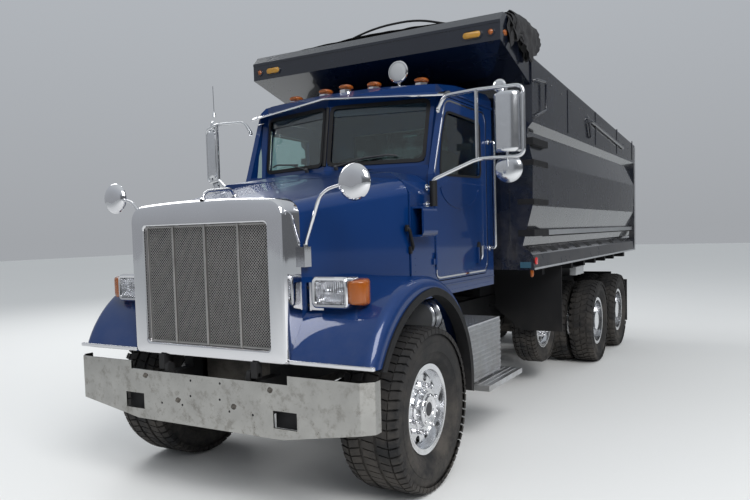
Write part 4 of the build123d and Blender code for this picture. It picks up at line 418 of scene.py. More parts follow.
def wheel_trim(name, face_x, disc_x, cy, cz, out, body, hub_out, dark_r):
    """Nuts on the disc, a hub cover with a dark centre, and a rounded lip; face_x is the rim's outer edge."""
    bm = new()
    d = Vector((out, 0, 0))
    for k in range(10):
        w = 2 * pi * (k + 0.5) / 10
        c = st(disc_x, cy + BOLT_CIRCLE * cos(w), cz + BOLT_CIRCLE * sin(w))
        lathe(bm, c, d, [(0, 0.021), (0.012, 0.021), (0.014, 0.0165), (0.038, 0.0155), (0.047, 0.011),
                         (0.05, 0.003)], 12, FAR)
    c = st(disc_x, cy, cz)
    lathe(bm, c, d, [(0, HUB_R + 0.014), (0.01, HUB_R + 0.012), (0.02, HUB_R), (hub_out * 0.6, HUB_R * 0.97),
                     (hub_out, HUB_R * 0.86), (hub_out + 0.006, HUB_R * 0.74), (hub_out, dark_r + 0.006),
                     (hub_out - 0.012, dark_r)], 40)
    rr = HUB_R * 0.8
    for w in turns(8):
        dome(bm, st(disc_x + out * (hub_out + 0.002), cy + rr * cos(w), cz + rr * sin(w)), d, 0.007, 0.009, 6)
    piece(name, bm, NUT, body, sharp=30)
    bm = new()
    lathe(bm, c, d, [(hub_out - 0.014, dark_r + 0.004), (hub_out - 0.006, dark_r * 0.9),
                     (hub_out + 0.002, dark_r * 0.55), (hub_out + 0.004, dark_r * 0.1)], 28, FAR)
    piece(name + "_centre", bm, PLASTIC, body, sharp=40)
    bm = new()
    lip = st(face_x, cy, cz)
    lathe(bm, lip, d, [(-0.026, 0.2745), (-0.004, 0.276), (0, 0.285), (0.003, 0.3), (0.002, 0.308),
                       (-0.004, 0.3105), (-0.013, 0.31)], 64)
    lathe(bm, lip, d, [(-0.1, 0.27), (-0.03, 0.2698), (-0.026, 0.2745)], 64)
    piece(name + "_lip", bm, ALLOY, body, sharp=30)


for name, s in SIDES:
    tyre_piece(f"tyre_front_{name}", [s * FRONT_X], FRONT_Y, FRONT_R, FRONT_R, 0.42, 0.311, HIGHWAY, 58,
               f"wheel_front_{name}")
    tyre_piece(f"tyre_pusher_{name}", [s * PUSHER_X], PUSHER_Y, PUSHER_Z, PUSHER_R, 0.26, 0.21, HIGHWAY, 52,
               f"wheel_pusher_{name}")
    wheel_trim(f"nuts_front_{name}", s * (FRONT_X + 0.1555), s * (FRONT_X + 0.107), FRONT_Y, FRONT_R, s,
               f"wheel_front_{name}", 0.062, 0.06)
    wheel_trim(f"nuts_pusher_{name}", s * 0.895, s * (PUSHER_X + 0.0525 + 0.022), PUSHER_Y, PUSHER_Z, s,
               f"wheel_pusher_{name}", 0.035, 0.055)
    for axle, y in DRIVE_YS:
        body = f"wheel_drive_{axle}_{name}"
        tyre_piece(f"tyres_drive_{axle}_{name}", [s * OUTER_X, s * INNER_X], y, DRIVE_R, DRIVE_R, 0.28, 0.21,
                   LUGS, 40, body)
        wheel_trim(f"nuts_drive_{axle}_{name}", s * 1.19, s * (OUTER_X - 0.1675 + 0.022), y, DRIVE_R, s, body,
                   0.185, 0.055)
    for n in (f"wheel_front_{name}", f"wheel_pusher_{name}", f"wheels_drive_front_{name}",
              f"wheels_drive_rear_{name}"):
        dress(n, ALLOY)


# Grille surround: a rounded chrome frame


def arc_points(cx, cz, r, a0, a1, n):
    return [(cx + r * cos(radians(a0 + (a1 - a0) * i / (n - 1))),
             cz + r * sin(radians(a0 + (a1 - a0) * i / (n - 1)))) for i in range(n)]


SUR_HALF, SUR_CORNER_Z, SUR_R, SUR_TOP = 0.67, 2.003, 0.11, 2.022
GX, GZ0, GZ1, GRILLE_Y = 0.5385, 1.0615, 1.8555, 0.06


def surround_outer():
    x, z = SUR_HALF - SUR_R, SUR_CORNER_Z - SUR_R
    pts = arc_points(-0.64, 1.008, 0.03, 180, 270, 6) + arc_points(0.64, 1.008, 0.03, 270, 360, 6)
    pts += arc_points(x, z, SUR_R, 0, 90, 9)
    for i in range(19):
        a = 1 - (i + 1) / 10
        pts.append((x * a, SUR_TOP - (SUR_TOP - SUR_CORNER_Z) * a * a))
    return pts + arc_points(-x, z, SUR_R, 90, 180, 9)


def surround_inner(grow):
    x, z0, z1, r = GX + grow, GZ0 - grow, GZ1 + grow, 0.032
    pts = arc_points(-x + r, z0 + r, r, 180, 270, 6) + arc_points(x - r, z0 + r, r, 270, 360, 6)
    pts += arc_points(x - r, z1 - r, r, 0, 90, 9)
    pts += [((x - r) * (1 - (i + 1) / 10), z1) for i in range(19)]
    return pts + arc_points(-x + r, z1 - r, r, 90, 180, 9)


def ring(points, y):
    return [st(x, y, z) for x, z in points]


def mixed(a, b, t):
    return [(p[0] + (q[0] - p[0]) * t, p[1] + (q[1] - p[1]) * t) for p, q in zip(a, b)]


outer, inner = surround_outer(), surround_inner(0)
bm = new()
loops(bm, [ring(outer, 0.199), ring(outer, 0.075), ring(mixed(outer, inner, 0.03), 0.052),
           ring(mixed(outer, inner, 0.1), 0.038), ring(mixed(outer, inner, 0.24), 0.031),
           ring(surround_inner(0.012), 0.0302), ring(surround_inner(0.01), 0.0303),
           ring(surround_inner(0.005), 0.0325), ring(surround_inner(0.001), 0.038), ring(inner, 0.14),
           ring(surround_inner(0.05), 0.145), ring(mixed(outer, inner, 0.1), 0.15),
           ring(mixed(outer, inner, 0.08), 0.199), ring(outer, 0.199)])
piece("surround_shell", bm, CHROME, "hood", replaces="grille_surround", sharp=28)

# Hinge lugs under the surround
piece("hinge_lugs", blocks((0.381, 0.43, 0.022, 0.078, 0.88, 0.984)), FRAME_BLACK, "hood", bevel=0.004)

# Grille: diagonal lattice between vertical bars
bm = new()
PITCH = 0.0208


def strip(bm, x0, z0, x1, z1, y, half):
    d = Vector((x1 - x0, 0, z1 - z0)).normalized()
    n = Vector((-d.z, 0, d.x)) * half
    a, b = st(x0, y, z0), st(x1, y, z1)
    t = Vector((0, 0.003, 0))
    lift = Vector((0, -0.0015, 0))
    loops(bm, [[a + n, a + lift, a - n, a + t], [b + n, b + lift, b - n, b + t]], BOTH)


count = int((2 * GX + (GZ1 - GZ0)) / PITCH)
for sign in (1, -1):
    for i in range(count + 1):
        c = -GX - (GZ1 - GZ0) + i * PITCH if sign > 0 else -GX + i * PITCH
        pts = []
        for z in (GZ0, GZ1):
            x = c + sign * (z - GZ0)
            if abs(x) > GX:
                x = copysign(GX, x)
                z = GZ0 + sign * (x - c)
            pts.append((x, z))
        if any(z < GZ0 - 1e-6 or z > GZ1 + 1e-6 for _, z in pts) or abs(pts[0][1] - pts[1][1]) < 0.004:
            continue
        strip(bm, *pts[0], *pts[1], GRILLE_Y + 0.01 + 0.0015 * sign, 0.0021)
piece("grille_mesh", bm, MESH_STEEL, "hood", replaces="grille", sharp=60)
bm = new()
for x in (-0.286, 0.0, 0.286):
    block(bm, x - 0.009, x + 0.009, GRILLE_Y - 0.006, GRILLE_Y + 0.018, GZ0, GZ1)
for x in (-GX + 0.006, GX - 0.006):
    block(bm, x - 0.006, x + 0.006, GRILLE_Y, GRILLE_Y + 0.02, GZ0, GZ1)
for z in (GZ0 + 0.006, GZ1 - 0.006):
    block(bm, -GX, GX, GRILLE_Y, GRILLE_Y + 0.02, z - 0.006, z + 0.006)
piece("grille_bars", bm, MESH_STEEL, "hood", bevel=0.003)
# Painted shade: a dark sheet behind the grille, in place of the shade inside the hood
piece("grille_shade_sheet", blocks((-0.56, 0.56, 0.13, 0.134, 1.05, 1.87), both=False), PAINTED_SHADE, "hood")

# Plain handle along the top of the surround and hood
bm = new()
tube(bm, [st(0, 0.062, 2.018), st(0, 0.07, 2.052), st(0, 0.11, 2.078), st(0, 0.335, 2.102),
          st(0, 0.372, 2.05)], 0.01, 0.04)
for y, z in ((0.062, 2.018), (0.372, 2.05)):
    lathe(bm, st(0, y, z), UP, [(0, 0.024), (0.008, 0.022), (0.014, 0.011)], 16, FAR)
piece("hood_handle", bm, CHROME, "hood")

# Chrome strips along the fenders' front edges, and the hood's rubber latches
piece("fender_strips", blocks((0.672, 1.268, 0.04, 0.066, 0.986, 1.012)), CHROME, "hood", bevel=0.006)
bm = new()
tube(bm, [st(0.95, 1.105, 1.806), st(0.966, 1.112, 1.79), st(0.966, 1.165, 1.665), st(0.95, 1.18, 1.64)],
     0.013, 0.03)
block(bm, 0.938, 0.962, 1.092, 1.128, 1.776, 1.824)
block(bm, 0.938, 0.962, 1.142, 1.166, 1.615, 1.668)
mirrored(bm)
piece("hood_latches", bm, RUBBER, "hood", bevel=0.006)

# Headlamps: chrome bezel, bowl, ribbed lens and amber corner lamp


def rect_ring(x0, x1, z0, z1, r, y, n=6):
    pts = arc_points(x0 + r, z0 + r, r, 180, 270, n) + arc_points(x1 - r, z0 + r, r, 270, 360, n)
    pts += arc_points(x1 - r, z1 - r, r, 0, 90, n) + arc_points(x0 + r, z1 - r, r, 90, 180, n)
    return [st(x, y, z) for x, z in pts]


def rect_form(bm, *rows):
    """Skin over rounded rectangles, each as x and z limits, corner radius and station."""
    loops(bm, [rect_ring(*row) for row in rows], BOTH)


bm = new()
rect_form(bm, (0.752, 1.014, 1.323, 1.51, 0.03, 0.329), (0.745, 1.014, 1.316, 1.517, 0.034, 0.215),
          (0.749, 1.011, 1.32, 1.513, 0.032, 0.196), (0.757, 1.004, 1.328, 1.505, 0.028, 0.188),
          (0.772, 0.994, 1.342, 1.492, 0.022, 0.19), (0.778, 0.99, 1.346, 1.488, 0.02, 0.202),
          (0.8, 0.97, 1.365, 1.468, 0.04, 0.25), (0.85, 0.92, 1.395, 1.438, 0.018, 0.262))
block(bm, 0.7, 0.8, 0.245, 0.31, 1.3, 1.47)
block(bm, 0.64, 0.712, 0.24, 0.32, 1.296, 1.474)
mirrored(bm)
piece("lamp_shells", bm, CHROME, "hood", replaces="headlamps", slot="lamp_clear", sharp=30)
bm = new()
rect_form(bm, (0.776, 0.991, 1.344, 1.49, 0.02, 0.204), (0.776, 0.991, 1.344, 1.49, 0.02, 0.197),
          (0.79, 0.98, 1.356, 1.478, 0.018, 0.19), (0.83, 0.94, 1.39, 1.45, 0.018, 0.188))
mirrored(bm)
piece("lamp_lenses", bm, LENS, "hood", sharp=40)
bm = new()
for x, w in ((0.845, 0.03), (0.932, 0.026)):
    lathe(bm, st(x, 0.246, 1.417), AHEAD, [(0, w), (0.016, w * 0.9), (0.03, w * 0.4), (0.034, 0.003)], 20,
          FAR)
mirrored(bm)
piece("lamp_bulbs", bm, CHROME, "hood", slot="lamp_clear")
bm = new()
rect_form(bm, (1.01, 1.06, 1.336, 1.498, 0.02, 0.329), (1.01, 1.096, 1.334, 1.5, 0.024, 0.32),
          (1.01, 1.113, 1.336, 1.498, 0.026, 0.275), (1.01, 1.104, 1.34, 1.494, 0.026, 0.232),
          (1.012, 1.07, 1.346, 1.488, 0.024, 0.208), (1.014, 1.04, 1.36, 1.474, 0.012, 0.204))
mirrored(bm)
piece("corner_lamps", bm, AMBER, "hood", sharp=50)
bm = new()
for z in (1.33, 1.44):
    lathe(bm, st(0.69, 0.24, z), AHEAD, [(0, 0.01), (0.005, 0.008)], 14, FAR)
mirrored(bm)
piece("lamp_studs", bm, RUBBER, "hood")

# Round mirrors on the hood: domed shell, glass, bent arm and bracket
bm = new()
lathe(bm, st(1.054, 0.248, 2.08), AHEAD, [(0, 0.098), (0, 0.11), (0.008, 0.1125), (0.02, 0.108),
                                          (0.034, 0.092), (0.044, 0.066), (0.047, 0.034), (0.047, 0.01)], 40,
      FAR)
tube(bm, [st(0.69, 0.226, 1.64), st(0.69, 0.226, 1.71), st(0.822, 0.222, 2.038), st(1.03, 0.235, 2.08)],
     0.0112, 0.09)
block(bm, 0.664, 0.706, 0.192, 0.262, 1.572, 1.698)
lathe(bm, st(0.69, 0.226, 1.696), UP, [(0, 0.017), (0.014, 0.016), (0.02, 0.011)], 16, FAR)
mirrored(bm)
piece("hood_mirror_shells", bm, CHROME, "hood", replaces="hood_mirrors", slot="mirror_steel", sharp=35)
bm = new()
lathe(bm, st(1.054, 0.2465, 2.08), BACK, [(0, 0.104), (0.001, 0.09), (0.003, 0.05), (0.0035, 0.004)], 40, FAR)
mirrored(bm)
piece("hood_mirror_glass", bm, MIRROR, "hood")

# Bumper: dark blocks behind the tow cut-outs and dark discs on the small holes, both painted shade; bolts and
# holes, each as (x, z)
BUMPER_BOLTS = [(-0.545, 0.83), (0.549, 0.826), (0.25, 0.692), (-0.241, 0.686)]
BUMPER_HOLES = [(-0.118, 0.829), (0.14, 0.832), (-0.124, 0.725), (0.134, 0.726), (-0.202, 0.657),
                (-0.394, 0.653), (0.406, 0.655), (0.213, 0.657)]
# Painted shade: dark blocks behind the tow cut-outs and dark discs over the small holes
bm = new()
block(bm, 0.552, 0.764, 0.05, 0.056, 0.582, 0.712)
mirrored(bm)
for x, z in BUMPER_HOLES:
    lathe(bm, st(x, -0.0006, z), BACK, [(0, 0.008), (0.0004, 0.002)], 12, FAR)
piece("bumper_hole_shade", bm, PAINTED_SHADE)
bm = new()
for x, z in BUMPER_BOLTS:
    lathe(bm, st(x, 0.001, z), AHEAD, [(0, 0.02), (0.003, 0.019), (0.005, 0.011), (0.016, 0.01),
                                       (0.019, 0.005)], 12, FAR)
piece("bumper_bolts", bm, IRON)

# Cab trim
CAB_SIDE = 0.945
SWEEP, RAKE = 0.3148, 0.1737  # how far the windscreen runs back, per metre outwards and per metre up


def screen_y(x, z):
    return 1.476 + SWEEP * abs(x) + RAKE * (z - 2.303)


def screen_point(x, z, lift):
    n = Vector((SWEEP if x >= 0 else -SWEEP, -1, RAKE)).normalized()
    return st(x, screen_y(x, z), z) + n * lift


def strip_loop(bm, points, width, height, normal, closed=True):
    """Raised flat band that follows a loop of points."""
    normal = Vector(normal).normalized()
    n = len(points)
    rings = []
    for i in range(n):
        a = points[(i - 1) % n] if closed or i else points[0]
        b = points[(i + 1) % n] if closed or i < n - 1 else points[-1]
        side = (b - a).normalized().cross(normal)
        p = points[i]
        rings.append([p - side * width / 2, p - side * width / 2 + normal * height,
                      p + side * width / 2 + normal * height, p + side * width / 2])
    made = [[bm.verts.new(v) for v in r] for r in rings]
    for i in range(n if closed else n - 1):
        a, b = made[i], made[(i + 1) % n]
        for k in range(4):
            j = (k + 1) % 4
            bm.faces.new((a[k], a[j], b[j], b[k]))


def soft_loop(points, r):
    """Closed loop with its corners rounded."""
    n = len(points)
    return [p for i in range(n) for p in bend(points[i - 1], points[i], points[(i + 1) % n], r)]


bm = new()
SCREEN = [(0.034, 2.338), (0.79, 2.343), (0.808, 2.828), (0.034, 2.815)]
loop = soft_loop([screen_point(x, z, -0.004) for x, z in SCREEN], 0.05)
strip_loop(bm, loop, 0.03, 0.014, (SWEEP, -1, RAKE))
mirrored(bm)
tube(bm, [screen_point(0, 2.33, 0.002), screen_point(0, 2.82, 0.002)], 0.016)
piece("screen_rubber", bm, RUBBER, sharp=40)
# Painted shade: a band of darker glass across the top of the windscreen, under the visor
bm = new()
quad = [screen_point(x, z, -0.01) for x, z in ((0.03, 2.74), (0.806, 2.75), (0.812, 2.826), (0.03, 2.813))]
face(bm, quad)
mirrored(bm)
piece("screen_visor_shade", bm, VISOR_SHADE_GLASS)

# Wipers: foot, arm and blade
bm = new()
for x0, x1 in ((0.1, 0.52), (-0.2, -0.62)):
    a, b = screen_point(x0, 2.315, 0.03), screen_point(x1, 2.395, 0.024)
    tube(bm, [a, a.lerp(b, 0.5) + Vector((0, -0.01, 0.02)), b], 0.006, 0.05, 8)
    tube(bm, [screen_point(x1 * 1.12, 2.385, 0.014), b, screen_point(x1 * 0.55, 2.372, 0.014)], 0.007, 0.02,
         8)
    lathe(bm, a, (0, -0.6, 0.8), [(-0.03, 0.016), (0.006, 0.016), (0.012, 0.008)], 14, BOTH)
piece("wipers", bm, PLASTIC)

# Door trim, hinge strip, handle, window seals and rivets, on each door
DOOR_LOOP = [(1.6, 1.42), (1.592, 2.215), (1.815, 2.79), (1.89, 2.818), (2.64, 2.818), (2.695, 2.755),
             (2.695, 1.465), (2.64, 1.405), (1.65, 1.405)]
WINDOW = [(1.69, 2.218), (1.74, 2.5), (1.839, 2.727), (2.549, 2.718), (2.561, 2.238)]


def oval(y, z, half_y, half_z):
    """Flattened oval in the plane of a door, as (y, z)."""
    return [(y + half_y * copysign(abs(cos(a)) ** 0.6, cos(a)),
             z + half_z * copysign(abs(sin(a)) ** 0.8, sin(a))) for a in turns(32)]


for name, s in SIDES:
    out = Vector((s, 0, 0))
    bm = new()
    loop = soft_loop([st(s * 0.9452, y, z) for y, z in DOOR_LOOP], 0.05)
    strip_loop(bm, loop, 0.013, 0.004, out)
    for z in (1.53, 1.625):
        lathe(bm, st(s * CAB_SIDE, 2.492, z), (s, 0, 0), [(0, 0.009), (0.03, 0.008)], 10, FAR)
    tube(bm, [st(s * 0.966, 2.492, 1.515), st(s * 0.976, 2.492, 1.54), st(s * 0.976, 2.492, 1.632)], 0.01,
         0.02, 10)
    piece(f"door_trim_{name}", bm, CHROME, f"door_{name}")
    bm = new()
    loop = soft_loop([st(s * 0.943, y, z) for y, z in WINDOW], 0.07)
    strip_loop(bm, loop, 0.018, 0.008, out)
    loops(bm, [[st(s * (0.9445 + up), y, z) for y, z in oval(2.482, 1.576, 0.036 * f, 0.092 * f)]
               for up, f in ((0, 1.0), (0.012, 0.97), (0.011, 0.85), (0.01, 0.2))], FAR)
    piece(f"door_seals_{name}", bm, RUBBER, f"door_{name}")
    bm = new()
    block(bm, s * 0.944, s * 0.95, 1.592, 1.628, 1.47, 2.205)
    for k in range(30):
        z = 1.478 + k * 0.025
        lathe(bm, st(s * 0.949, 1.588, z), UP, [(0, 0.006), (0.021, 0.006)], 8, BOTH)
    for k in range(16):
        dome(bm, st(s * 0.95, 1.616, 1.485 + k * 0.047), out, 0.004, 0.003, 8)
    for k in range(19):
        rivet(bm, st(s * CAB_SIDE, 1.7 + k * 0.052, 2.17), out)
    for k in range(21):
        rivet(bm, st(s * CAB_SIDE, 1.64 + k * 0.051, 1.432), out)
    piece(f"door_rivets_{name}", bm, BLUE, f"door_{name}", sharp=40)
    bm = new()
    arc = [st(s * 0.944, 2.105 + 0.4 * cos(a), 2.14 + 0.175 * sin(a))
           for a in [radians(-172 + 164 * i / 32) for i in range(33)]]
    strip_loop(bm, arc, 0.024, 0.008, out, closed=False)
    piece(f"door_pressing_{name}", bm, BLUE, f"door_{name}", sharp=50)

# Rows of rivets on the cab's sides, its gutter, and the bars between the cowl and the screen
bm = new()
for y, z0, z1, n in ((2.775, 1.32, 2.78, 30), (1.235, 1.48, 2.02, 12), (1.545, 1.45, 2.16, 16)):
    for k in range(n):
        rivet(bm, st(CAB_SIDE, y, z0 + (z1 - z0) * k / (n - 1)), OUT)
for k in range(27):
    rivet(bm, st(CAB_SIDE, 1.42 + k * 0.053, 1.295), OUT)
for k in range(30):
    rivet(bm, st(0.06 + k * 0.028, 2.853, 2.86), BACK)
mirrored(bm)
piece("cab_rivets", bm, BLUE, sharp=40)
bm = new()
tube(bm, [st(0.948, 1.8, 2.862), st(0.952, 1.98, 2.886), st(0.952, 2.8, 2.886), st(0.948, 2.85, 2.88)], 0.011,
     0.05, 8)
block(bm, 0.936, 0.952, 1.16, 1.172, 1.46, 2.05)
block(bm, 0.945, 0.953, 1.44, 2.84, 1.335, 1.347)
mirrored(bm)
piece("gutters", bm, BLUE, bevel=0.002)

# Sun visor, with a bright front edge and bright ends
VISOR_HALF = 0.97


def visor_ring(f, grow=0.0):
    """Section of the visor at a share f of its half width."""
    a = abs(f)
    y0, y1 = 1.49 + 0.255 * a - grow, 1.72 + 0.15 * a + grow
    z0, z1 = 2.876 - 0.042 * a, 2.92 - 0.047 * a
    section = ((0, -grow), (0, 0.008 + grow), (0.3, 0.021 + grow), (0.7, 0.021 + grow), (1, 0.012 + grow),
               (1, -grow), (0.6, 0.004 - grow), (0.25, 0.004 - grow))
    return [st(f * VISOR_HALF, y0 + (y1 - y0) * t, z0 + (z1 - z0) * t + up) for t, up in section]


bm = new()
loops(bm, [visor_ring(-1 + i / 10) for i in range(21)], BOTH)
piece("visor_panel", bm, BLUE, replaces="sun_visor", sharp=50)
bm = new()
tube(bm, [visor_ring(-1 + i / 10)[0] + Vector((0, -0.003, 0.003)) for i in range(21)], 0.0085, 0.02, 8)
for s in (-1, 1):
    loops(bm, [visor_ring(s * 0.945, 0.002), visor_ring(s * 1.001, 0.002)], BOTH)
for x in (-0.72, -0.24, 0.24, 0.72):
    tube(bm, [st(x, 1.64 + 0.26 * abs(x), 2.876 - 0.04 * abs(x)), st(x, 1.74 + 0.15 * abs(x), 2.905)], 0.007,
         0.02, 8)
piece("visor_edge", bm, CHROME)

# Roof lamps: amber lenses on chrome feet, and the round lamp on its stalk
disc = st(0.44, 2.0, 3.133)
bm, feet = new(), new()
for x, y in ((0, 1.84), (0.25, 1.895), (-0.25, 1.895), (0.65, 1.995), (-0.65, 1.995)):
    rings = []
    for t, w, h in ((0, 0.04, 0.01), (0.012, 0.052, 0.018), (0.04, 0.059, 0.025), (0.075, 0.056, 0.025),
                    (0.098, 0.046, 0.019), (0.105, 0.03, 0.008)):
        pts = []
        for a in turns(16):
            c, d = cos(a), sin(a)
            pts.append(st(x + w * copysign(abs(c) ** 0.75, c), y - 0.045 + t + 0.25 * abs(w * c),
                          3.034 + h * copysign(abs(d) ** 0.8, d)))
        rings.append(pts)
    loops(bm, rings, BOTH)
    rings = []
    for grow, z in ((1.0, 2.93), (1.0, 3.01), (0.9, 3.016)):
        rings.append([st(x + 0.056 * grow * cos(a), y + 0.01 + 0.05 * grow * sin(a), z)
                      for a in turns(24)])
    loops(feet, rings, FAR)
piece("roof_lamp_lenses", bm, AMBER, replaces="roof_lamps", sharp=50)
lathe(feet, disc, AHEAD, [(-0.024, 0.03), (-0.016, 0.07), (-0.004, 0.09), (0.006, 0.0945),
                                          (0.014, 0.09), (0.018, 0.08)], 36, (True, False))
tube(feet, [st(0.44, 2.012, 2.98), st(0.44, 2.01, 3.06)], 0.011)
lathe(feet, st(0.44, 2.012, 2.998), UP, [(0, 0.036), (0.012, 0.032), (0.02, 0.014)], 20, FAR)
piece("roof_lamp_feet", feet, CHROME, sharp=35)
bm = new()
lathe(bm, disc, AHEAD, [(0.012, 0.083), (0.018, 0.07), (0.022, 0.04), (0.023, 0.004)], 32,
      FAR)
piece("roof_disc", bm, WHITE)

# Door mirrors on their tube frames, and the grab rails
LEFT_SWING, RIGHT_SWING = 5.0, 32.0
MZ0, MZ1, MW = 2.305, 2.817, 0.353  # heights and width of the tube frame
HEAD, ROUND_Z = 0.65 * MW, 2.222
ARM_X, ARM_Y = 1.0, 1.455
RAIL_Y, RAIL_Z0, RAIL_Z1 = 2.765, 1.605, 2.572
tubes, heads, faces, grips = new(), new(), new(), new()
for s, swing in ((1, LEFT_SWING), (-1, RIGHT_SWING)):
    w = radians(swing)

    def at(k, back, z, w=w, s=s):
        x = 1.29 + k * cos(w) - back * sin(w)
        y = 1.62 + k * sin(w) + back * cos(w)
        return st(s * x, y, z)

    tube(tubes, [st(s * 0.94, 1.69, 2.715), st(s * 1.005, 1.68, 2.817), at(0, 0, MZ1), at(MW, 0, MZ1),
                 at(MW, 0, MZ0), at(0, 0, MZ0), st(s * ARM_X, ARM_Y, 2.16), st(s * ARM_X, ARM_Y, 2.1)],
         0.0145, 0.06)
    tube(tubes, [at(0, 0, MZ0), at(0, 0, MZ1)], 0.0145)
    tube(tubes, [at(HEAD, 0, MZ0), at(HEAD, 0, MZ1)], 0.009)
    tube(tubes, [at(HEAD, 0, MZ0), at(HEAD, 0.02, ROUND_Z)], 0.008)
    tube(grips, [st(s * ARM_X, ARM_Y, 2.15), st(s * ARM_X, ARM_Y, 1.96)], 0.029, 0.02, 16)
    for z in (2.105, 1.975):
        tube(tubes, [st(s * 0.943, ARM_Y, z), st(s * ARM_X, ARM_Y, z)], 0.012)
        lathe(tubes, st(s * 0.944, ARM_Y, z), (s, 0, 0), [(0, 0.026), (0.006, 0.024), (0.008, 0.012)], 16)
    lathe(tubes, st(s * 0.942, 1.69, 2.715), (s, 0, 0), [(0, 0.026), (0.01, 0.022), (0.014, 0.014)], 16)
    # Head with upright ribs towards the front
    hw, hz0, hz1 = 0.1, MZ0 + 0.035, MZ1 - 0.035
    rings = []
    for z, g in ((hz0, 0.8), (hz0 + 0.012, 0.97), (hz0 + 0.03, 1.0), (hz1 - 0.03, 1.0), (hz1 - 0.012, 0.97),
                 (hz1, 0.8)):
        pts = []
        for i in range(25):
            k = -1 + 2 * i / 24
            rib = 0.0016 * (i % 2) if 2 < i < 22 else 0
            depth = -0.018 - 0.04 * g * (1 - abs(k) ** 3.2) - rib
            pts.append(at(HEAD + k * hw * g, 0.03 + depth, z))
        for i in range(9):
            k = 1 - 2 * i / 8
            pts.append(at(HEAD + k * hw * g, 0.052, z))
        rings.append(pts)
    loops(heads, rings, BOTH)
    low, high = hz0 + 0.02, hz1 - 0.02
    face(faces, [at(HEAD + k * hw * 0.9, 0.0535, z) for k, z in ((-1, low), (1, low), (1, high), (-1, high))])
    n = at(HEAD, 1, ROUND_Z) - at(HEAD, 0, ROUND_Z)
    lathe(heads, at(HEAD, 0.045, ROUND_Z), -n, [(0, 0.1), (0.006, 0.1045), (0.018, 0.098), (0.028, 0.078),
                                              (0.034, 0.045), (0.036, 0.01)], 36, BOTH)
    lathe(heads, at(0.5 * MW, 0.02, MZ1 + 0.012), -n, [(0, 0.046), (0.01, 0.049), (0.024, 0.034),
            (0.028, 0.006)], 24, BOTH)
    tube(tubes, [st(s * x, RAIL_Y, z) for x, z in ((0.943, RAIL_Z1), (ARM_X, RAIL_Z1), (ARM_X, RAIL_Z0),
                                                   (0.943, RAIL_Z0))], 0.0145, 0.03)
    for z in (RAIL_Z1, RAIL_Z0):
        lathe(tubes, st(s * 0.944, RAIL_Y, z), (s, 0, 0), [(0, 0.028), (0.006, 0.026), (0.009, 0.014)], 16)
tube(tubes, [st(-1.35, 1.658, 2.905), st(-1.352, 1.656, 3.185)], 0.004, 0.02, 8)
lathe(tubes, st(-1.35, 1.658, 2.9), UP, [(0, 0.018), (0.03, 0.014), (0.05, 0.005)], 14, BOTH)
piece("mirror_tubes", tubes, STEEL, replaces="mirrors_and_rails", sharp=40)
piece("mirror_heads", heads, STEEL, sharp=32)
piece("mirror_faces", faces, MIRROR)
piece("mirror_grips", grips, RUBBER)

# Bed: dark faces over the openings in the sloped ledge, as painted shade, a light rail above them, grab
# handles, caps on top, lamps and parts of the tarp's gear
LEDGE_YS = (3.22, 3.62, 4.07, 4.57, 5.12, 5.75, 6.45, 7.2)
LEDGE_NORMAL = (0.68, 0, 0.73)


def ledge(y, t, lift):
    """Point on the sloped ledge of the bed's side, t from its inner edge to its outer edge."""
    return st(1.194 + 0.092 * t + lift * LEDGE_NORMAL[0], y, 1.614 - 0.085 * t + lift * LEDGE_NORMAL[2])


def ledge_slot(y, lift):
    """Outline of one slanted opening in the ledge."""
    return [ledge(y + back, t, lift) for back, t in ((0, 0.3), (0.2, 0.3), (0.26, 0.82), (0.06, 0.82))]


def fall(y):
    """Drop of the bed's top edge below its front end."""
    return 0.32 * (y - 2.96) / 5.262


# Dark faces over the ledge's openings: painted shade
bm = new()
for y in LEDGE_YS:
    face(bm, ledge_slot(y, 0.0012))
mirrored(bm)
piece("bed_ledge_hole_shade", bm, PAINTED_SHADE, "bed", slot="frame_black")
bm = blocks((1.262, 1.2695, 3.425, 8.215, 1.7045, 1.7555), (1.299, 1.3035, 2.975, 8.215, 1.388, 1.408),
            (1.3, 1.306, 8.15, 8.215, 1.42, 2.99))
piece("bed_bright_rails", bm, RIBBED, "bed", bevel=0.002)
bm = new()
lathe(bm, st(1.3015, 3.015, 1.47), OUT, [(0, 0.036), (0.008, 0.034), (0.012, 0.01)], 24, BOTH)
mirrored(bm)
piece("bed_reflectors", bm, RED, "bed")
bm = new()
for z, h in ((2.545, 0.06), (2.355, 0.05), (1.995, 0.05), (1.7, 0.06)):
    block(bm, 1.15, 1.3085, 2.9575, 3.4225, z - 0.0015, z + h + 0.0015)
block(bm, 1.2395, 1.262, 3.425, 8.215, 1.69, 1.7045)
mirrored(bm)
piece("bed_stub_covers", bm, RUBBER, "bed", bevel=0.003)
piece("bed_side_plate", blocks((1.168, 1.272, 2.949, 2.9585, 1.407, 1.462), both=False), PLATE, "bed",
      bevel=0.002)
bm = new()
for y in LEDGE_YS:
    strip_loop(bm, ledge_slot(y, 0), 0.01, 0.003, LEDGE_NORMAL)
block(bm, 1.236, 1.304, 2.962, 8.2, 2.742, 2.772)
tube(bm, [st(1.298, 2.99, 3.12), st(1.33, 3.01, 3.13), st(1.332, 3.3, 3.15), st(1.332, 3.29, 2.89),
          st(1.33, 3.0, 2.8), st(1.298, 2.99, 2.79)], 0.011, 0.03)
lathe(bm, st(1.298, 5.084, 3.023), OUT, [(0, 0.055), (0.016, 0.052), (0.02, 0.03), (0.034, 0.026)], 28, BOTH)
tube(bm, [st(1.322, 5.084, 3.023), st(1.322, 5.177, 2.835), st(1.3, 5.18, 2.825)], 0.014, 0.02)
tube(bm, [st(1.3, 5.19, 3.03), st(1.322, 5.23, 3.02), st(1.322, 7.15, 2.884), st(1.3, 7.2, 2.88)], 0.017,
     0.03)
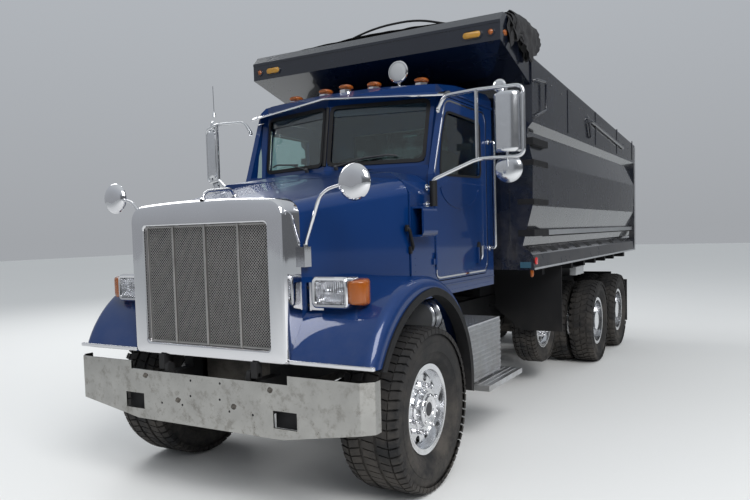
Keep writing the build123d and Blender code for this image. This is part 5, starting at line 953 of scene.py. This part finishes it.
for y in (4.2, 5.5, 6.8, 7.95):
    block(bm, 1.298, 1.306, y, y + 0.05, 2.772, 3.05 + (8.22 - y) * 0.045)
mirrored(bm)
piece("bed_trim", bm, BLACK, "bed", bevel=0.002)
bm = new()
for s in (1, -1):
    top = [st(s * 1.275, y, 3.32 - fall(y) + 0.006) for y in (3.02, 4.5, 6.0, 7.5, 8.215)]
    tube(bm, top, 0.024, 0.02, 12)
piece("bed_top_rails", bm, BLACK, "bed")
bm = new()
for i in range(12):
    y = 3.6 + i * 0.37
    lathe(bm, st(1.3, y, 3.21 - fall(y)), OUT, [(0, 0.012), (0.006, 0.009)], 10, FAR)
for i in range(9):
    for x, z in ((1.216, 1.7), (1.293, 1.98), (1.298, 2.4), (1.24, 2.66)):
        dome(bm, st(x, 3.1 + i * 0.62, z), OUT, 0.006, 0.003, 8)
mirrored(bm)
piece("bed_bolts", bm, BLACK, "bed")

# Lamps on the shield's face, with their rims
LAMP_Y, LAMP_Z = 2.181, 3.385


def slot(x, z, half, r, y, f):
    """Upright loop with round ends, shrunk about its middle by f."""
    pts = arc_points(half - r, 0, r, -90, 90, 12) + arc_points(-half + r, 0, r, 90, 270, 12)
    return [st(x + a * f, y, z + b * f) for a, b in pts]


bm = new()
for s in (1, -1):
    lathe(bm, st(s * 1.205, LAMP_Y, LAMP_Z), AHEAD, [(0, 0.024), (0.008, 0.023), (0.014, 0.015),
            (0.016, 0.003)], 20, BOTH)
    loops(bm, [[st(s * (1.287 + d), 2.29 + 0.04 * cos(a) * f, 3.39 + 0.024 * sin(a) * f)
                for a in turns(20)] for d, f in ((0, 1.0), (0.007, 0.95), (0.012, 0.5))], BOTH)
piece("bed_lamp_lenses", bm, AMBER, "bed", replaces="bed_lamps", sharp=50)
bm = new()
for s in (1, -1):
    loops(bm, [slot(s * 1.04, LAMP_Z, 0.08, 0.026, LAMP_Y - d, f) for d, f in
               ((0, 1.0), (0.008, 1.0), (0.014, 0.85), (0.016, 0.4))], BOTH)
piece("bed_slot_lamps", bm, YELLOW, "bed", sharp=50)
bm = new()
for s in (1, -1):
    loops(bm, [slot(s * 1.04, LAMP_Z, 0.094, 0.04, LAMP_Y - d, f) for d, f in
               ((0, 1.0), (0.009, 0.97), (0.009, 0.8), (0, 0.8))])
    lathe(bm, st(s * 1.205, LAMP_Y, LAMP_Z), AHEAD, [(0, 0.036), (0.008, 0.034), (0.008, 0.025), (0, 0.025)],
          20)
block(bm, -1.286, 1.286, 2.176, 2.184, 3.452, 3.476)
piece("shield_trim", bm, BLACK, "bed")

# Tarp: one long sheet, folded to and fro on the shield, its left end hanging over the side
FOLDS = 7
STEPS = 22
TARP_Z = 3.5535
TARP_EDGE, TARP_HANG = 1.235, 0.3
line = []
for i in range(FOLDS):
    back, front = 3.285 - 0.03 * i, 2.42 + 0.022 * i
    for k in range(STEPS + 1):
        t = k / STEPS if i % 2 == 0 else 1 - k / STEPS
        line.append((front + (back - front) * t, 0.02 * i + 0.03 * sin(pi * t) * i / FOLDS))
    if i < FOLDS - 1:
        line.append((back + 0.012 if i % 2 == 0 else front - 0.012, 0.02 * i + 0.01))
flat_len = sum(hypot(a[0] - b[0], a[1] - b[1]) for a, b in zip(line, line[1:]))


def tarp_point(run, y, h, k):
    """Point of the pile: run goes across the truck and turns down past the edge; h is above the shield."""
    f = noise.noise(Vector((run * 2.6, y * 4.0, k * 0.01)))
    g = noise.noise(Vector((run * 7.0, y * 9.0, 5.0)))
    swell = 0.62 + 0.38 * exp(-((run + 0.15) / 0.75) ** 2)
    h = max(0, h * swell + (0.012 * f + 0.01 * g) * (0.4 + 4 * h))
    if run < TARP_EDGE:
        return st(run, y + 0.014 * f, TARP_Z + h)
    over = run - TARP_EDGE
    turn = min(over / 0.1, 1.0) * pi / 2
    down = max(0, over - 0.1)
    thick = h * 0.55
    crease = noise.noise(Vector((run * 9.0, y * 14.0, 9.0 + k * 0.02)))
    x = TARP_EDGE + (0.07 + thick + 0.03 * crease) * sin(turn)
    z = TARP_Z - 0.05 * (1 - cos(turn)) - down * (0.85 + 0.5 * g + 0.25 * sin(9 * y)) + h * cos(turn)
    return st(x, 2.35 + (y - 2.42) * (0.98 - 0.55 * down) + 0.03 * crease + 0.014 * f, z)


bm = new()
COLS = 90
loops(bm, [[tarp_point(-TARP_EDGE + (2 * TARP_EDGE + TARP_HANG) * c / COLS, y, h, k)
            for k, (y, h) in enumerate(line)] for c in range(COLS + 1)], closed=False)
tarp = piece("tarp_sheet", bm, TARP, "bed", replaces="tarp", sharp=70)
bm = new()
tube(bm, [st(-0.62, 2.56, 3.6), st(-0.1, 2.58, 3.735), st(0.34, 2.58, 3.735), st(0.7, 2.56, 3.62)], 0.01,
     0.25)
piece("tarp_bow", bm, RUBBER, "bed", slot="tarp_cloth")

# Seats: padded cushions and backs on plain bases
SEAT_X = 0.45


def cushion(x, y0, y1, z0, z1, tilt=0.0):
    """Pad with rounded corners, narrower at its ends and crowned on top."""
    nx, ny, nz = 14, 12, 5
    edge = [(-1 + 2 * i / nx, -1) for i in range(nx)] + [(1, -1 + 2 * i / ny) for i in range(ny)]
    edge += [(1 - 2 * i / nx, 1) for i in range(nx)] + [(-1, 1 - 2 * i / ny) for i in range(ny)]
    rings = []
    for tz in [i / nz for i in range(nz + 1)]:
        g = 1 - 0.1 * abs(2 * tz - 1) ** 3
        soft = [(px, py, 1 - 0.06 * (abs(px) * abs(py)) ** 4) for px, py in edge]
        rings.append([(x + 0.245 * px * g * k, py * g * k, tz) for px, py, k in soft])

    def place(px, py, tz):
        z = z0 + (z1 - z0) * tz
        return st(px, (y0 + y1) / 2 + py * (y1 - y0) / 2 + tilt * (z - z0), z)

    bm = new()
    made = loops(bm, [[place(*p) for p in r] for r in rings])
    n = len(edge)
    for last, tz, crown in ((made[-1], 1.0, 0.1), (made[0], 0.0, 0.0)):
        for g in (0.88, 0.7, 0.48, 0.25):
            ring_v = [bm.verts.new(place(x + (px - x) * g, py * g, tz + crown * (1 - g * g)))
                      for px, py, _ in rings[-1]]
            for i in range(n):
                j = (i + 1) % n
                bm.faces.new((last[i], last[j], ring_v[j], ring_v[i]))
            last = ring_v
        bm.faces.new(last)
    return bm


for name, s in SIDES:
    bm = cushion(s * SEAT_X, 2.125, 2.615, 1.702, 1.812)
    o = piece(f"seat_cushion_{name}", bm, SEAT, replaces="seats" if s > 0 else None, subdiv=1)
    bm = cushion(s * SEAT_X, 2.545, 2.64, 1.834, 2.47, tilt=0.12)
    o = piece(f"seat_back_{name}", bm, SEAT, subdiv=1)
    bm = new()
    block(bm, s * SEAT_X - 0.17, s * SEAT_X + 0.17, 2.23, 2.56, 1.33, 1.7)
    block(bm, s * SEAT_X - 0.19, s * SEAT_X + 0.19, 2.2, 2.59, 1.66, 1.7)
    piece(f"seat_base_{name}", bm, PLASTIC, bevel=0.012)

# Steps: tread plates with raised grips, and ribs on the box
bm = new()
for s in (1, -1):
    for i in range(20):
        for j in range(3):
            x, y = s * (1.065 + j * 0.052), 2.0 + i * 0.04
            dome(bm, st(x, y, 0.5), UP, 0.01, 0.004, 8)
for i in range(10):
    for j in range(8):
        dome(bm, st(0.62 + j * 0.06, 1.88 + i * 0.07, 1.0), UP, 0.01, 0.004, 8)
for i in range(36):
    block(bm, 1.1, 1.108, 1.845 + i * 0.0198, 1.852 + i * 0.0198, 0.545, 0.985)
piece("step_grips", bm, RIBBED)
bm = new()
for x, z, r, ys in ((0.8, 1.09, 0.126, (1.625, 1.74)), (-0.79, 0.79, 0.331, (2.13, 2.72))):
    for y in ys:
        lathe(bm, st(x, y - 0.022, z), BACK, [(0, r), (0.002, r + 0.007), (0.042, r + 0.007), (0.044, r)], 48)
piece("tank_straps", bm, STEEL, slot="steel_bright")
bm = new()
lathe(bm, st(-0.79, 2.2, 1.108), UP, [(0, 0.052), (0.03, 0.052), (0.036, 0.046), (0.04, 0.02)], 24, FAR)
piece("fuel_cap", bm, CHROME)

# Lamps and brackets along the frame and at the rear
bm = new()
for s in (1, -1):
    lathe(bm, st(s * 1.27, 2.985, 1.388), (0, 0, -1), [(0, 0.016), (0.01, 0.018), (0.06, 0.015),
            (0.068, 0.006)], 16, BOTH)
piece("side_markers", bm, AMBER, "bed")
bm = new()
for s in (1, -1):
    block(bm, s * 1.08, s * 1.16, 5.06, 5.44, 1.195, 1.3)
piece("bed_light_boxes", bm, WHITE, "bed", bevel=0.008)
bm = new()
for s in (1, -1):
    for x in (0.62, 0.76, 0.9):
        lathe(bm, st(s * x, 8.005, 0.99), BACK, [(-0.03, 0.052), (0.004, 0.052), (0.012, 0.044),
                (0.016, 0.012)], 24, BOTH)
piece("tail_lamps", bm, RED)
bm = new()
for s in (1, -1):
    block(bm, s * 0.42, s * 0.98, 7.955, 7.985, 0.92, 1.06)
    block(bm, s * 0.43, s * 0.5, 7.9, 7.975, 0.94, 1.02)
piece("tail_lamp_bars", bm, FRAME_BLACK, bevel=0.004)
piece("plate_blank", blocks((-0.16, 0.16, 8.008, 8.014, 0.935, 1.015), both=False), WHITE, bevel=0.002)

# Mud flap bars and weights
bm = new()
for s in (1, -1):
    block(bm, s * 0.64, s * 1.2, 7.988, 7.9955, 0.32, 0.37)
    for x in (0.68, 0.8, 0.92, 1.04, 1.16):
        dome(bm, st(s * x, 7.987, 0.89), BACK, 0.009, 0.006, 8)
piece("flap_weights", bm, STEEL, slot="steel_bright", bevel=0.002)

# Gauge rims inside the cab
bm = new()
for i in range(6):
    x = 0.25 + i * 0.085
    lathe(bm, st(x, 1.806, 2.06 + 0.02 * (i % 2)), BACK, [(0, 0.036), (0.006, 0.036), (0.008, 0.03),
            (0.004, 0.028)], 24)
piece("gauge_rims", bm, CHROME)

# Floor, backdrop, light and camera
bm = new()
face(bm, [Vector((x, y, 0)) for x, y in ((-60, -60), (60, -60), (60, 60), (-60, 60))])
me = bpy.data.meshes.new("floor")
bm.to_mesh(me)
bm.free()
floor = bpy.data.objects.new("floor", me)
bpy.context.scene.collection.objects.link(floor)
me.materials.append(material("floor_pale", (0.8, 0.8, 0.79), 0.85, vary=0.015, scale=0.4))

scene = bpy.context.scene
world = bpy.data.worlds.new("studio")
scene.world = world
world.use_nodes = True
t = world.node_tree
background = t.nodes["Background"].inputs
way = node(t, "TexCoord", "Generated")
side, height = [node(t, "SeparateXYZ", axis, None, {"Vector": way}) for axis in "XZ"]
ramp = t.nodes.new("ShaderNodeValToRGB")
low, high = ramp.color_ramp.elements
low.position, low.color = 0.0, (0.5, 0.52, 0.55, 1)
high.position, high.color = 1.0, (0.92, 0.97, 1.0, 1)
ramp.color_ramp.elements.new(0.45).color = (0.66, 0.7, 0.75, 1)
t.links.new(height, ramp.inputs["Fac"])
t.links.new(ramp.outputs["Color"], background["Color"])


def world_map(source, *ends):
    keys = ("From Min", "From Max", "To Min", "To Max")
    return node(t, "MapRange", "Result", dict(zip(keys, ends)), {"Value": source})


# The light is flagged off on the truck's left, below a low height
flag = node(t, "Math", "Value", None, {0: world_map(side, 0.0, 0.2, 1.0, 0.36),
                                       1: world_map(height, 0.1, 0.4, 0.0, 1.0)}, operation="MAXIMUM")
t.links.new(world_map(flag, 0.0, 1.0, 0.0, 0.72), background["Strength"])


def lamp(name, place, target, size, power):
    data = bpy.data.lights.new(name, "AREA")
    data.shape = "RECTANGLE"
    data.size, data.size_y = size
    data.energy = power
    o = bpy.data.objects.new(name, data)
    scene.collection.objects.link(o)
    o.location = place
    o.rotation_euler = (Vector(target) - Vector(place)).to_track_quat("-Z", "Y").to_euler()


lamp("key", (9, -9, 10), (0, -1, 1.2), (7, 7), 1500)
lamp("rim", (-9, 3, 9), (0, 0, 1.5), (8, 5), 500)

yaw, pitch, roll = radians(30.205), radians(-3.366), radians(-1.568)
fwd = Vector((-sin(yaw) * cos(pitch), cos(yaw) * cos(pitch), sin(pitch)))
right = fwd.cross(Vector((0, 0, 1))).normalized()
up = right.cross(fwd)
cam_x = right * cos(roll) + up * sin(roll)
cam_y = up * cos(roll) - right * sin(roll)
cam_data = bpy.data.cameras.new("camera")
cam = bpy.data.objects.new("camera", cam_data)
scene.collection.objects.link(cam)
rot = Matrix((cam_x, cam_y, -fwd)).transposed()
cam.matrix_world = Matrix.Translation(st(3.239, -3.298, 1.777)) @ rot.to_4x4()
PHOTO_W, PHOTO_H, FOCAL_PX, MIDDLE_ROW = 750, 500, 692.09, 272.94
cam_data.sensor_width = 36.0
cam_data.lens = FOCAL_PX / PHOTO_W * 36.0
cam_data.shift_y = (MIDDLE_ROW - PHOTO_H / 2) / PHOTO_W
cam_data.clip_end = 200
scene.camera = cam
scene.view_settings.view_transform = "Standard"
